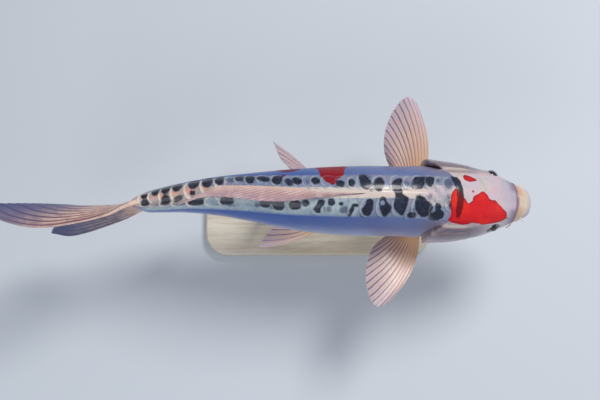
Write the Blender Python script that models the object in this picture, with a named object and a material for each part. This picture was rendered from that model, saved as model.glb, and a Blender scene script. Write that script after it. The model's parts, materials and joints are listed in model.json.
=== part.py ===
"""A koi carp as a still, life-size display model on a plain stand.

Metres, +Z up, the head towards +X. The origin is on the floor under the middle of the model.
The body is one run of rings, parted by thin cuts into the lengths that a person would name.
Fins are thin fans of rays, and each piece keeps a hair of clearance to its neighbours.
"""
import math

import bmesh
import bpy
import numpy as np
from mathutils import Matrix, Vector

# ---- driving dimensions -------------------------------------------------------------------
SNOUT_X = 0.2955          # tip of the snout
AXIS_Y = -0.0031          # the body's own midline
AXIS_HEIGHT = 0.1650      # the body's axis above the floor
GAP = 0.0003              # clearance between neighbouring pieces
CLEARANCE = 0.0005        # clearance of fins, barbels and stand to the body
SIDES = 28                # corners on each ring of the body

BACK_POWER = 0.92         # below 1 the section is fuller than an ellipse
BELLY_POWER = 0.84

# Body sections, each: distance behind the snout, half width, back above the axis, belly below it,
# height of the widest point, sideways drift of the midline (+ is the fish's left)
SECTIONS = np.array((
    (0.0000, 0.0035, -0.0060, -0.0135, -0.0100, -0.0020),   # tip of the snout
    (0.0032, 0.0126, 0.0026, -0.0208, -0.0098, -0.0020),    # lips
    (0.0130, 0.0190, 0.0112, -0.0278, -0.0095, -0.0020),    # groove behind the lips
    (0.0270, 0.0260, 0.0204, -0.0338, -0.0090, -0.0019),    # nostrils
    (0.0450, 0.0335, 0.0296, -0.0396, -0.0085, -0.0018),    # eyes
    (0.0680, 0.0398, 0.0384, -0.0454, -0.0080, -0.0018),    # cheeks
    (0.0920, 0.0420, 0.0452, -0.0515, -0.0080, -0.0018),    # gill covers
    (0.1180, 0.0398, 0.0520, -0.0567, -0.0060, -0.0016),    # shoulders
    (0.1480, 0.0381, 0.0575, -0.0600, -0.0045, -0.0011),    # pectoral fins
    (0.1850, 0.0381, 0.0610, -0.0622, -0.0030, -0.0010),    # front of the dorsal fin
    (0.2280, 0.0362, 0.0595, -0.0612, -0.0020, -0.0006),    # pelvic fins
    (0.2720, 0.0320, 0.0545, -0.0570, -0.0015, 0.0008),     # middle of the dorsal fin
    (0.3140, 0.0256, 0.0472, -0.0502, -0.0010, 0.0032),     # end of the belly
    (0.3520, 0.0203, 0.0398, -0.0424, 0.0000, 0.0043),      # anal fin
    (0.3880, 0.0156, 0.0335, -0.0350, 0.0000, 0.0026),      # tail stem
    (0.4220, 0.0116, 0.0288, -0.0294, 0.0000, -0.0015),     # thinnest part of the stem
    (0.4460, 0.0076, 0.0272, -0.0272, 0.0000, -0.0050),     # root of the tail fin
    (0.4560, 0.0046, 0.0205, -0.0205, 0.0000, -0.0058),     # flesh between the rays
    (0.4610, 0.0016, 0.0100, -0.0100, 0.0000, -0.0062),     # end of the flesh
))

# Where the body is parted, behind the snout
LIPS_END = 0.0125
HEAD_END = 0.0820
FRONT_TRUNK_END = 0.1850
MIDDLE_TRUNK_END = 0.2750
REAR_TRUNK_END = 0.3520
FLESH_END = 0.4610
MOUTH_HEIGHT = -0.0110    # the slit between the lips, against the axis
MOUTH_SLIT = 0.0006

# Gill covers: a rounded plate laid on the side of the head, lifted at its free rear edge
COVER_CENTRE = 0.0935
COVER_HALF_LENGTH = 0.0245
COVER_TURN = math.radians(-3)       # turn round the body, 0 at the widest point of the left side
COVER_HALF_TURN = math.radians(43)
COVER_RAKE = 0.0090                 # how far its top lies ahead of its middle
COVER_THICKNESS = 0.0030
COVER_PROUD_FRONT = 0.0006
COVER_PROUD_REAR = 0.0056
POCKET_SHARE = 1.03                 # size of the pocket it lies in, against the cover itself
POCKET_ABOVE = 0.0040               # how far the pocket's guide reaches out past the skin

# Eyes
EYE_RADIUS = 0.0076
EYE_BEHIND_SNOUT = 0.0440
EYE_SIDE = 0.0277
EYE_HEIGHT = 0.0065

BARBEL_TAPER = 0.65       # share of its thickness that a barbel loses towards its tip

# Fins
FIN_EDGE = 0.0006         # thickness at the free edge
FIN_SUNK = 0.0040         # how far the dorsal and anal rays start under the skin
DORSAL_FRONT = 0.1850
DORSAL_REAR = 0.3450
DORSAL_LEAN = math.radians(56)      # from upright, towards the fish's right
ANAL_FRONT = 0.3500
ANAL_REAR = 0.3820
PECTORAL_ROOT = (0.1320, 0.0170, -0.0440)   # behind the snout, out from the midline, above the axis
PELVIC_ROOT = (0.2260, 0.0110, -0.0530)
TAIL_ROOT = 0.4480
TAIL_FORK = 0.0550        # length of the middle rays behind the root

# Stand
BASE_LENGTH = 0.2800
BASE_WIDTH = 0.0900
BASE_THICKNESS = 0.0140
BASE_CORNER = 0.0280
BASE_EDGE = 0.0025
ROD_RADIUS = 0.0040
FOOT_RADIUS = 0.0110
FOOT_TOP_RADIUS = 0.0085
FOOT_HEIGHT = 0.0040
CRADLE_RADIUS = 0.0140
CRADLE_FOOT_RADIUS = 0.0085
CRADLE_DROP = 0.0070      # how far the cradle reaches below the belly
CRADLE_RISE = 0.0035      # how far its rim reaches up round the belly
ROD_PLACES = {"front": 0.1680, "rear": 0.3020}      # behind the snout


# ---- small helpers ------------------------------------------------------------------------
def clear_scene():
    """Empty the file of the objects that it opens with."""
    for item in list(bpy.data.objects):
        bpy.data.objects.remove(item, do_unlink=True)


def finish(name, colour, roughness, metallic=0.0):
    """A plain finish of one colour."""
    material = bpy.data.materials.new(name)
    material.use_nodes = True
    shader = material.node_tree.nodes["Principled BSDF"]
    shader.inputs["Base Color"].default_value = (*colour, 1.0)
    shader.inputs["Roughness"].default_value = roughness
    shader.inputs["Metallic"].default_value = metallic
    material.diffuse_color = (*colour, 1.0)
    return material


def smooth_along(knots, share):
    """The value at a share from 0 to 1 of a smooth curve through evenly counted knots."""
    place = min(max(share, 0.0), 1.0) * (len(knots) - 1)
    index = min(int(place), len(knots) - 2)
    step = place - index
    start, end = knots[index], knots[index + 1]
    slope_in = (end - knots[max(index - 1, 0)]) / 2
    slope_out = (knots[min(index + 2, len(knots) - 1)] - start) / 2
    bend = 3 * (end - start) - 2 * slope_in - slope_out
    twist = 2 * (start - end) + slope_in + slope_out
    return start + slope_in * step + bend * step ** 2 + twist * step ** 3


def section_at(behind):
    """The body's section at a distance behind the snout."""
    low, high = 0.0, 1.0
    for _ in range(30):
        middle = (low + high) / 2
        if smooth_along(SECTIONS, middle)[0] < behind:
            low = middle
        else:
            high = middle
    return smooth_along(SECTIONS, high)


def body_point(behind, turn, swell=0.0):
    """A point of the body's surface. The turn is 0 at the left side and a quarter at the back."""
    _, half_width, back, belly, widest, drift = section_at(behind)
    across, up = math.cos(turn), math.sin(turn)
    power = BACK_POWER if up >= 0 else BELLY_POWER
    reach = (back + swell - widest) if up >= 0 else (widest - belly + swell)
    side = math.copysign(abs(across) ** power, across) * (half_width + swell)
    height = math.copysign(abs(up) ** power, up) * reach
    return Vector((SNOUT_X - behind, AXIS_Y + drift + side, AXIS_HEIGHT + widest + height))


def body_normal(behind, turn):
    """The direction straight out of the body at such a point."""
    step = 0.0005
    along = body_point(behind + step, turn) - body_point(behind - step, turn)
    turn_step = math.radians(1)
    around = body_point(behind, turn + turn_step) - body_point(behind, turn - turn_step)
    return around.cross(-along).normalized()


def add_solid(name, points, faces, material, sharp=math.radians(40)):
    """One closed mesh with its faces pointing out."""
    mesh = bpy.data.meshes.new(name)
    mesh.from_pydata([tuple(point) for point in points], [], faces)
    shape = bmesh.new()
    shape.from_mesh(mesh)
    bmesh.ops.recalc_face_normals(shape, faces=shape.faces)
    shape.to_mesh(mesh)
    shape.free()
    mesh.shade_smooth()
    mesh.set_sharp_from_angle(angle=sharp)
    solid = bpy.data.objects.new(name, mesh)
    bpy.context.scene.collection.objects.link(solid)
    if material:
        mesh.materials.append(material)
    return solid


def as_cutter(solid):
    """Mark a solid as a guide that only shapes others."""
    solid.hide_render = True
    solid.display_type = "WIRE"
    return solid


def cut(solid, *cutters):
    """Take the cutters' volume out of a solid."""
    for cutter in cutters:
        boolean = solid.modifiers.new("cut by " + cutter.name, "BOOLEAN")
        boolean.operation = "DIFFERENCE"
        boolean.solver = "EXACT"
        boolean.object = cutter


def loft(rings):
    """Faces over rings of equal count, closed by a flat face at each end."""
    count = len(rings[0])
    points = [point for ring in rings for point in ring]
    faces = []
    for ring in range(len(rings) - 1):
        here = ring * count
        for corner in range(count):
            after = (corner + 1) % count
            faces.append((here + corner, here + after, here + count + after, here + count + corner))
    faces.append(tuple(range(count)))
    faces.append(tuple(range(len(points) - count, len(points))))
    return points, faces


def add_cylinder(name, radius, bottom, top, centre, material, top_radius=None, sides=24):
    """An upright round piece, tapered where a top radius is given."""
    top_radius = radius if top_radius is None else top_radius
    rings = []
    for size, height in ((radius, bottom), (top_radius, top)):
        rings.append([
            Vector((centre[0] + size * math.cos(turn), centre[1] + size * math.sin(turn), height))
            for turn in (2 * math.pi * corner / sides for corner in range(sides))
        ])
    return add_solid(name, *loft(rings), material)


def add_box(name, low, high):
    """A box between two corners, as a guide."""
    points = [(x, y, z) for x in (low[0], high[0]) for y in (low[1], high[1]) for z in (low[2], high[2])]
    faces = [(0, 1, 3, 2), (4, 5, 7, 6), (0, 1, 5, 4), (2, 3, 7, 6), (0, 2, 6, 4), (1, 3, 7, 5)]
    return as_cutter(add_solid(name, points, faces, None))


# ---- the body -----------------------------------------------------------------------------
def ring_places(start, end, rings, crowding=1.0):
    """Places of a length's rings behind the snout. Crowding above 1 puts more near its start."""
    return [start + (end - start) * (index / rings) ** crowding for index in range(rings + 1)]


def body_length(name, places, material, swell=0.0):
    """A length of the body, as a run of rings with a flat cut at each end."""
    stack = []
    for behind in places:
        stack.append([
            body_point(behind, 2 * math.pi * corner / SIDES, swell) for corner in range(SIDES)
        ])
    return add_solid(name, *loft(stack), material)


HALF_GAP = GAP / 2
LIP_PLACES = ring_places(0.0, LIPS_END - HALF_GAP, 6, crowding=1.8)
LENGTH_PLACES = {
    "head": ring_places(LIPS_END + HALF_GAP, HEAD_END - HALF_GAP, 10),
    "trunk_front": ring_places(HEAD_END + HALF_GAP, FRONT_TRUNK_END - HALF_GAP, 8),
    "trunk_middle": ring_places(FRONT_TRUNK_END + HALF_GAP, MIDDLE_TRUNK_END - HALF_GAP, 6),
    "trunk_rear": ring_places(MIDDLE_TRUNK_END + HALF_GAP, REAR_TRUNK_END - HALF_GAP, 5),
    "tail_stem": ring_places(REAR_TRUNK_END + HALF_GAP, FLESH_END, 9, crowding=0.8),
}


def make_clearance():
    """The whole body a little swollen, as a guide that keeps its neighbours clear of it."""
    places = LIP_PLACES + [place for length in LENGTH_PLACES.values() for place in length]
    places[-1] += CLEARANCE
    return as_cutter(body_length("guide_body", places, None, swell=CLEARANCE))


def make_lips(material):
    """The two lips: the front of the muzzle, parted by the slit of the mouth."""
    slit = AXIS_HEIGHT + MOUTH_HEIGHT
    reach = 0.05
    low = (SNOUT_X - reach, AXIS_Y - reach)
    high = (SNOUT_X + reach, AXIS_Y + reach)
    below = add_box("guide_below_mouth", (*low, slit - reach), (*high, slit + MOUTH_SLIT / 2))
    above = add_box("guide_above_mouth", (*low, slit - MOUTH_SLIT / 2), (*high, slit + reach))
    for name, cutter in (("lip_upper", below), ("lip_lower", above)):
        cut(body_length(name, LIP_PLACES, material), cutter)


def make_body(skin):
    """Head, trunk in three lengths and tail stem."""
    return {name: body_length(name, places, skin) for name, places in LENGTH_PLACES.items()}


# ---- gill covers --------------------------------------------------------------------------
def cover_rings(side, grow, deeper, higher):
    """Points of a gill cover's two faces, ring by ring from the rim to the middle."""
    around_count, ring_count = 24, 4
    faces_out, faces_in = [], []
    for ring in range(ring_count):
        share = grow * (1 - ring / ring_count)
        outer_ring, inner_ring = [], []
        for step in range(around_count):
            turn = 2 * math.pi * step / around_count
            forward, upward = share * math.cos(turn), share * math.sin(turn)
            behind = COVER_CENTRE - COVER_HALF_LENGTH * forward - COVER_RAKE * upward
            place = COVER_TURN + COVER_HALF_TURN * upward
            place = place if side > 0 else math.pi - place
            lift = max(0.0, (1 - forward) / 2)
            flare = lift ** 1.5 * (1 - 0.55 * min(1.0, upward * upward))
            proud = COVER_PROUD_FRONT + (COVER_PROUD_REAR - COVER_PROUD_FRONT) * flare
            normal = body_normal(behind, place)
            surface = body_point(behind, place)
            outer_ring.append(surface + normal * (proud + higher))
            inner_ring.append(surface + normal * (proud - COVER_THICKNESS - deeper))
        faces_out.append(outer_ring)
        faces_in.append(inner_ring)
    return faces_out, faces_in


def cover_solid(name, side, material, grow=1.0, deeper=0.0, higher=0.0):
    """A closed plate from the rings of its two faces."""
    faces_out, faces_in = cover_rings(side, grow, deeper, higher)
    return add_solid(name, *loft(faces_out[::-1] + faces_in), material)


def make_gill_covers(parts, bone):
    """Two gill covers, each in a pocket of the head and shoulder. Returns guides for the fins."""
    pockets, edges = [], []
    for name, side in (("left", 1), ("right", -1)):
        cover_solid("gill_cover_" + name, side, bone)
        pocket = cover_solid("guide_pocket_" + name, side, None, POCKET_SHARE, GAP, POCKET_ABOVE)
        pockets.append(as_cutter(pocket))
        edge = cover_solid("guide_edge_" + name, side, None, POCKET_SHARE, 2 * GAP, 2 * GAP)
        edges.append(as_cutter(edge))
    cut(parts["head"], *pockets)
    cut(parts["trunk_front"], *pockets)
    return edges


# ---- eyes and barbels ---------------------------------------------------------------------
def add_ball(name, radius, centre, material):
    """A round ball of rings."""
    rings = []
    steps, sides = 7, 16
    for step in range(1, steps + 1):
        slope = math.pi * step / (steps + 1)
        size, height = radius * math.sin(slope), radius * math.cos(slope)
        rings.append([
            centre + Vector((size * math.cos(turn), height, size * math.sin(turn)))
            for turn in (2 * math.pi * corner / sides for corner in range(sides))
        ])
    return add_solid(name, *loft(rings), material)


def make_eyes(parts, eye):
    """Two eyeballs, sunk in sockets of the head."""
    drift = section_at(EYE_BEHIND_SNOUT)[-1]
    for name, side in (("left", 1), ("right", -1)):
        centre = Vector((
            SNOUT_X - EYE_BEHIND_SNOUT,
            AXIS_Y + drift + side * EYE_SIDE,
            AXIS_HEIGHT + EYE_HEIGHT,
        ))
        add_ball("eye_" + name, EYE_RADIUS, centre, eye)
        socket = as_cutter(add_ball("guide_socket_" + name, EYE_RADIUS + 2 * GAP, centre, None))
        cut(parts["head"], socket)


def add_barbel(name, side, root, tip, sag, thick, material, clearance):
    """A tapered feeler, bent down between its root and its tip."""
    sides, steps = 6, 7
    drift = section_at(LIPS_END)[-1]
    start = Vector((SNOUT_X - root[0], AXIS_Y + drift + side * root[1], AXIS_HEIGHT + root[2]))
    end = Vector((SNOUT_X - tip[0], AXIS_Y + drift + side * tip[1], AXIS_HEIGHT + tip[2]))
    direction = (end - start).normalized()
    first = direction.orthogonal().normalized()
    second = direction.cross(first)
    rings = []
    for step in range(steps + 1):
        share = step / steps
        centre = start.lerp(end, share) - Vector((0, 0, sag * math.sin(math.pi * share)))
        radius = thick / 2 * (1 - BARBEL_TAPER * share)
        rings.append([
            centre + radius * (math.cos(turn) * first + math.sin(turn) * second)
            for turn in (2 * math.pi * corner / sides for corner in range(sides))
        ])
    cut(add_solid(name, *loft(rings), material), clearance)


def make_barbels(material, clearance):
    """Two pairs of barbels: short ones on the upper lip, longer ones at the corners of the mouth."""
    for name, side in (("left", 1), ("right", -1)):
        add_barbel("barbel_front_" + name, side, (0.0110, 0.0140, -0.0045), (0.0080, 0.0225, -0.0080),
                   -0.0010, 0.0022, material, clearance)
        add_barbel("barbel_rear_" + name, side, (0.0170, 0.0170, -0.0160), (0.0215, 0.0250, -0.0320),
                   -0.0020, 0.0028, material, clearance)


# ---- fins ---------------------------------------------------------------------------------
def fin_solid(name, place, thickness, rays, steps, material):
    """A thin closed fan. place(ray, reach) gives its middle surface, both from 0 to 1."""
    grid = [[place(ray / rays, step / steps) for step in range(steps + 1)] for ray in range(rays + 1)]
    upper, lower = [], []
    for ray in range(rays + 1):
        for step in range(steps + 1):
            across = grid[min(ray + 1, rays)][step] - grid[max(ray - 1, 0)][step]
            along = grid[ray][min(step + 1, steps)] - grid[ray][max(step - 1, 0)]
            offset = across.cross(along).normalized() * thickness(ray / rays, step / steps) / 2
            upper.append(grid[ray][step] + offset)
            lower.append(grid[ray][step] - offset)
    width = steps + 1
    other = len(upper)
    faces = []
    for ray in range(rays):
        for step in range(steps):
            corner = ray * width + step
            face = (corner, corner + 1, corner + width + 1, corner + width)
            faces.append(face)
            faces.append(tuple(index + other for index in reversed(face)))
    rim = [step for step in range(width)]
    rim += [ray * width + steps for ray in range(1, rays + 1)]
    rim += [rays * width + step for step in range(steps - 1, -1, -1)]
    rim += [ray * width for ray in range(rays - 1, 0, -1)]
    for index, corner in enumerate(rim):
        after = rim[(index + 1) % len(rim)]
        faces.append((corner, after, after + other, corner + other))
    return add_solid(name, upper + lower, faces, material)


def taper(root, flesh=0.25):
    """Thickness that falls from a fleshy root to the thin free edge."""
    def thickness(_, reach):
        fleshy = max(0.0, 1 - reach / flesh) ** 1.5
        return FIN_EDGE + (root - FIN_EDGE) * fleshy + 0.0008 * (1 - reach)
    return thickness


def side_fin(side, root, sweep, droop, roll):
    """A paired fin's own frame: which way is out and which way is forward, as two directions."""
    turn = Matrix.Rotation(side * sweep, 4, "Z") @ Matrix.Rotation(-side * droop, 4, "X")
    outward = turn @ Vector((0, side, 0))
    forward = Matrix.Rotation(side * roll, 4, outward) @ (turn @ Vector((1, 0, 0)))
    drift = section_at(root[0])[-1]
    centre = Vector((SNOUT_X - root[0], AXIS_Y + drift + side * root[1], AXIS_HEIGHT + root[2]))
    return centre, outward, forward


# Roots of the paired fins, along the body, and how far their rays bow forward and cup upward
PECTORAL_SHAPE = (0.0240, 0.0120, 0.0050)
PELVIC_SHAPE = (0.0150, 0.0070, 0.0030)

# Ends of the rays, leading ray first: out from the root, and forward of it
PECTORAL_ENDS = np.array((
    (0.1040, 0.0000), (0.1110, -0.0090), (0.1070, -0.0175), (0.0945, -0.0255), (0.0800, -0.0310),
    (0.0635, -0.0340), (0.0470, -0.0325), (0.0330, -0.0265), (0.0230, -0.0190),
))
PELVIC_ENDS = np.array((
    (0.0940, 0.0000), (0.0860, -0.0060), (0.0730, -0.0120), (0.0610, -0.0165), (0.0500, -0.0195),
    (0.0410, -0.0210),
))


def fan(centre, outward, forward, ends, root_width, bow, camber):
    """A fan of rays from a narrow root to their ends, bowed forward and gently cupped."""
    upward = forward.cross(outward)
    upward = upward if upward.z > 0 else -upward

    def place(ray, reach):
        out_end, forward_end = smooth_along(ends, ray)
        forward_root = root_width * (0.5 - ray)
        arc = 4 * reach * (1 - reach)
        out = out_end * reach
        ahead = forward_root + (forward_end - forward_root) * reach + bow * (1 - 0.7 * ray) * arc
        lift = camber * arc - camber * ray * reach
        return centre + outward * out + forward * ahead + upward * lift
    return place


def make_paired_fins(material, clearance, cover_edges):
    """Pectoral fins spread level behind the gill covers, pelvic fins on the belly."""
    for name, side, sweep, droop in (
        ("left", 1, math.radians(-5), math.radians(-12)),
        ("right", -1, math.radians(16.5), math.radians(-14)),
    ):
        frame = side_fin(side, PECTORAL_ROOT, sweep, droop, math.radians(8))
        place = fan(*frame, PECTORAL_ENDS, *PECTORAL_SHAPE)
        fin = fin_solid("pectoral_fin_" + name, place, taper(0.0048, 0.35), 12, 8, material)
        cut(fin, clearance, *cover_edges)
    for name, side, sweep, droop, roll in (
        ("left", 1, math.radians(43), math.radians(3), math.radians(62)),
        ("right", -1, math.radians(69), math.radians(22), math.radians(12)),
    ):
        frame = side_fin(side, PELVIC_ROOT, sweep, droop, roll)
        place = fan(*frame, PELVIC_ENDS, *PELVIC_SHAPE)
        fin = fin_solid("pelvic_fin_" + name, place, taper(0.0045), 8, 7, material)
        cut(fin, clearance)


# Front to rear along each fin: how steeply its rays rise from the body, in degrees, and their length
DORSAL_RISE = np.array((6.0, 16.0, 19.0, 17.0, 15.0, 13.0))
DORSAL_RAYS = np.array((0.0400, 0.0470, 0.0480, 0.0470, 0.0470, 0.0480))
ANAL_RISE = np.array((52.0, 46.0, 38.0, 28.0))
ANAL_RAYS = np.array((0.0500, 0.0460, 0.0360, 0.0270))


def make_dorsal_fin(material, clearance):
    """The dorsal fin, folded back along the ridge and fallen to the fish's right."""
    lean = Vector((0, -math.sin(DORSAL_LEAN), math.cos(DORSAL_LEAN)))

    def place(ray, reach):
        rise = math.radians(smooth_along(DORSAL_RISE, ray))
        length = smooth_along(DORSAL_RAYS, ray)
        behind = DORSAL_FRONT + (DORSAL_REAR - DORSAL_FRONT) * ray + length * math.cos(rise) * reach
        height = -FIN_SUNK + (length * math.sin(rise) + FIN_SUNK) * reach
        return body_point(behind, math.pi / 2) + lean * height
    fin = fin_solid("dorsal_fin", place, taper(0.0016, 0.4), 18, 3, material)
    cut(fin, clearance)


def make_anal_fin(material, clearance):
    """The anal fin, upright under the tail stem."""

    def place(ray, reach):
        rise = math.radians(smooth_along(ANAL_RISE, ray))
        length = smooth_along(ANAL_RAYS, ray)
        root = body_point(ANAL_FRONT + (ANAL_REAR - ANAL_FRONT) * ray, -math.pi / 2)
        drop = -FIN_SUNK + (length * math.sin(rise) + FIN_SUNK) * reach
        side = -0.0040 * reach ** 2
        return root + Vector((-length * math.cos(rise) * reach, side, -drop))
    fin = fin_solid("anal_fin", place, taper(0.0030), 6, 6, material)
    cut(fin, clearance)


# Ends of the tail's rays, middle ray first: behind the root, and away from the axis
TAIL_UPPER_ENDS = np.array((
    (TAIL_FORK, 0.0010), (0.0660, 0.0190), (0.0830, 0.0370), (0.1050, 0.0540), (0.1290, 0.0690),
    (0.1430, 0.0780),
))
TAIL_LOWER_ENDS = np.array((
    (TAIL_FORK, 0.0010), (0.0620, 0.0200), (0.0740, 0.0390), (0.0890, 0.0570), (0.1030, 0.0740),
    (0.1110, 0.0850),
))
# How far the outer rays swing to the fish's right, as shares along a ray
UPPER_SWING = np.array((0.0, 0.62, 0.85, 1.0, 0.82, 0.28))
LOWER_SWING = np.array((0.0, 0.62, 0.85, 1.0, 0.90, 0.66))
UPPER_REACH = 0.0320      # sideways swing of the outermost ray
LOWER_REACH = 0.0240
TAIL_DRIFT = -0.03        # sideways slope of the middle rays
TAIL_ROOT_HALF_HEIGHT = 0.0262


def make_tail_lobe(name, side, ends, swing, swing_reach, material, clearance):
    """One lobe of the tail fin, cupped so that its outer rays swing to the fish's right."""
    drift = section_at(TAIL_ROOT)[-1]

    def place(ray, reach):
        back_end, away_end = smooth_along(ends, ray)
        away_root = GAP / 2 + TAIL_ROOT_HALF_HEIGHT * ray
        away = away_root + (away_end - away_root) * reach + 0.0080 * ray * 4 * reach * (1 - reach)
        away = max(away, GAP / 2)
        back_root = -0.0040 - 0.0100 * ray ** 2
        back = back_root + (back_end - back_root) * reach
        cupped = -swing_reach * ray ** 1.5 * smooth_along(swing, reach)
        return Vector((
            SNOUT_X - TAIL_ROOT - back,
            AXIS_Y + drift + TAIL_DRIFT * max(back, 0.0) + cupped,
            AXIS_HEIGHT + side * away,
        ))
    fin = fin_solid(name, place, taper(0.0026), 8, 10, material)
    cut(fin, clearance)


# ---- stand --------------------------------------------------------------------------------
def make_base(material, centre_x):
    """A flat board with round corners and eased edges."""
    outline = []
    for quarter, (x_side, y_side) in enumerate(((1, 1), (-1, 1), (-1, -1), (1, -1))):
        corner_x = centre_x + x_side * (BASE_LENGTH / 2 - BASE_CORNER)
        corner_y = AXIS_Y + y_side * (BASE_WIDTH / 2 - BASE_CORNER)
        for step in range(7):
            turn = math.pi / 2 * (quarter + step / 6)
            outline.append(Vector((
                corner_x + BASE_CORNER * math.cos(turn), corner_y + BASE_CORNER * math.sin(turn), 0,
            )))
    rings = [outline, [point + Vector((0, 0, BASE_THICKNESS)) for point in outline]]
    base = add_solid("stand_base", *loft(rings), material)
    edge = base.modifiers.new("eased edges", "BEVEL")
    edge.width = BASE_EDGE
    edge.segments = 2
    edge.limit_method = "ANGLE"
    edge.angle_limit = math.radians(60)


def make_stand(wood, steel, pad, clearance):
    """A base, and two rods that end in small cradles under the belly."""
    centre_x = SNOUT_X - sum(ROD_PLACES.values()) / 2
    make_base(wood, centre_x)
    for name, behind in ROD_PLACES.items():
        belly = body_point(behind, -math.pi / 2)
        centre = (belly.x, belly.y)
        foot_bottom = BASE_THICKNESS + GAP
        foot_top = foot_bottom + FOOT_HEIGHT
        cradle_bottom = belly.z - CRADLE_DROP
        rim = belly.z + CRADLE_RISE
        add_cylinder("stand_foot_" + name, FOOT_RADIUS, foot_bottom, foot_top, centre, steel,
                     FOOT_TOP_RADIUS)
        add_cylinder("stand_rod_" + name, ROD_RADIUS, foot_top + GAP, cradle_bottom - GAP, centre, steel)
        cradle = add_cylinder("stand_cradle_" + name, CRADLE_FOOT_RADIUS, cradle_bottom, rim, centre,
                              pad, CRADLE_RADIUS, 32)
        cut(cradle, clearance)


# ---- the whole model ----------------------------------------------------------------------
def main():
    """Build every piece."""
    clear_scene()
    skin = finish("white skin", (0.62, 0.55, 0.58), 0.30)
    lips = finish("cream lips", (0.66, 0.55, 0.45), 0.35)
    cheek = finish("gill cover skin", (0.48, 0.45, 0.47), 0.28)
    eye = finish("dark eye", (0.02, 0.02, 0.03), 0.08)
    fins = finish("peach fins", (0.68, 0.50, 0.40), 0.40)
    wood = finish("pale wood", (0.55, 0.42, 0.28), 0.50)
    steel = finish("brushed steel", (0.55, 0.56, 0.58), 0.35, 1.0)
    felt = finish("grey pad", (0.16, 0.16, 0.17), 0.90)

    clearance = make_clearance()
    make_lips(lips)
    parts = make_body(skin)
    cover_edges = make_gill_covers(parts, cheek)
    make_eyes(parts, eye)
    make_barbels(lips, clearance)
    make_paired_fins(fins, clearance, cover_edges)
    make_dorsal_fin(fins, clearance)
    make_anal_fin(fins, clearance)
    make_tail_lobe("tail_fin_upper", 1, TAIL_UPPER_ENDS, UPPER_SWING, UPPER_REACH, fins, clearance)
    make_tail_lobe("tail_fin_lower", -1, TAIL_LOWER_ENDS, LOWER_SWING, LOWER_REACH, fins, clearance)
    make_stand(wood, steel, felt, clearance)


main()
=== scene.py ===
# %% [markdown]
# # A koi carp as a museum's display model
#
# The real object is a life-size fish of cast and painted resin on a small stand. The packed
# solids give its true outline, and this lesson gives it the looks: one smooth skin, scales
# laid over it, rayed fins, glass eyes and paint. Lengths are metres, +Z is up and the head
# points to +X. Places on the skin are read as a taxidermist would measure them with a tape:
# so many millimetres behind the snout, and so many round the body from the ridge of the back.

# %% Load the frame
import json
import math

import bpy
import numpy as np
from mathutils import Matrix, Vector

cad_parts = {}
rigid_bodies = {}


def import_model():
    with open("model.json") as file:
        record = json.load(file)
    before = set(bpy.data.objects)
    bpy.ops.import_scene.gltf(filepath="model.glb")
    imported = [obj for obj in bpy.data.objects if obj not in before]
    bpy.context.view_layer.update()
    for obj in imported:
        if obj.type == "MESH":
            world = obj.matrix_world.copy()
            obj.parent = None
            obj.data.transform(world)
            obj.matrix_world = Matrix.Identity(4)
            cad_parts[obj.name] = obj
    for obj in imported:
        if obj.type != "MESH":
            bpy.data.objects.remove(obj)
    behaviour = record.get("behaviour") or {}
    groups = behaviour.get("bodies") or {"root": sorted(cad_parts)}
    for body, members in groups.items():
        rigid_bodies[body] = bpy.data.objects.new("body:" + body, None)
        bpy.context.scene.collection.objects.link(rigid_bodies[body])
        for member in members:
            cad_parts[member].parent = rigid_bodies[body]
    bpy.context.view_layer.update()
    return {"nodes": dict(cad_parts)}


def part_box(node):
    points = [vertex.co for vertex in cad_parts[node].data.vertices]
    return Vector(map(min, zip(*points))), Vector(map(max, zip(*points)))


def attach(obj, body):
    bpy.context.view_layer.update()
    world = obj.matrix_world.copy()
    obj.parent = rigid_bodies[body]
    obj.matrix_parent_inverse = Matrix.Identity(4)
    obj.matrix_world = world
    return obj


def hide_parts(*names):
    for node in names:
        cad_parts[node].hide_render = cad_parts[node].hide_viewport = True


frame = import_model()

# %% [markdown]
# ## The body's shape
#
# A fish's body is a stack of oval sections along a gently bent midline. It could be sculpted
# freely, but then nothing would fit the solids. So the same few sections that shape the
# solids are written down here. Each row says how far behind the snout it is, the half width,
# the back and the belly against the axis, the height of the widest point and how far the
# midline has drifted to the fish's left.

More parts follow.
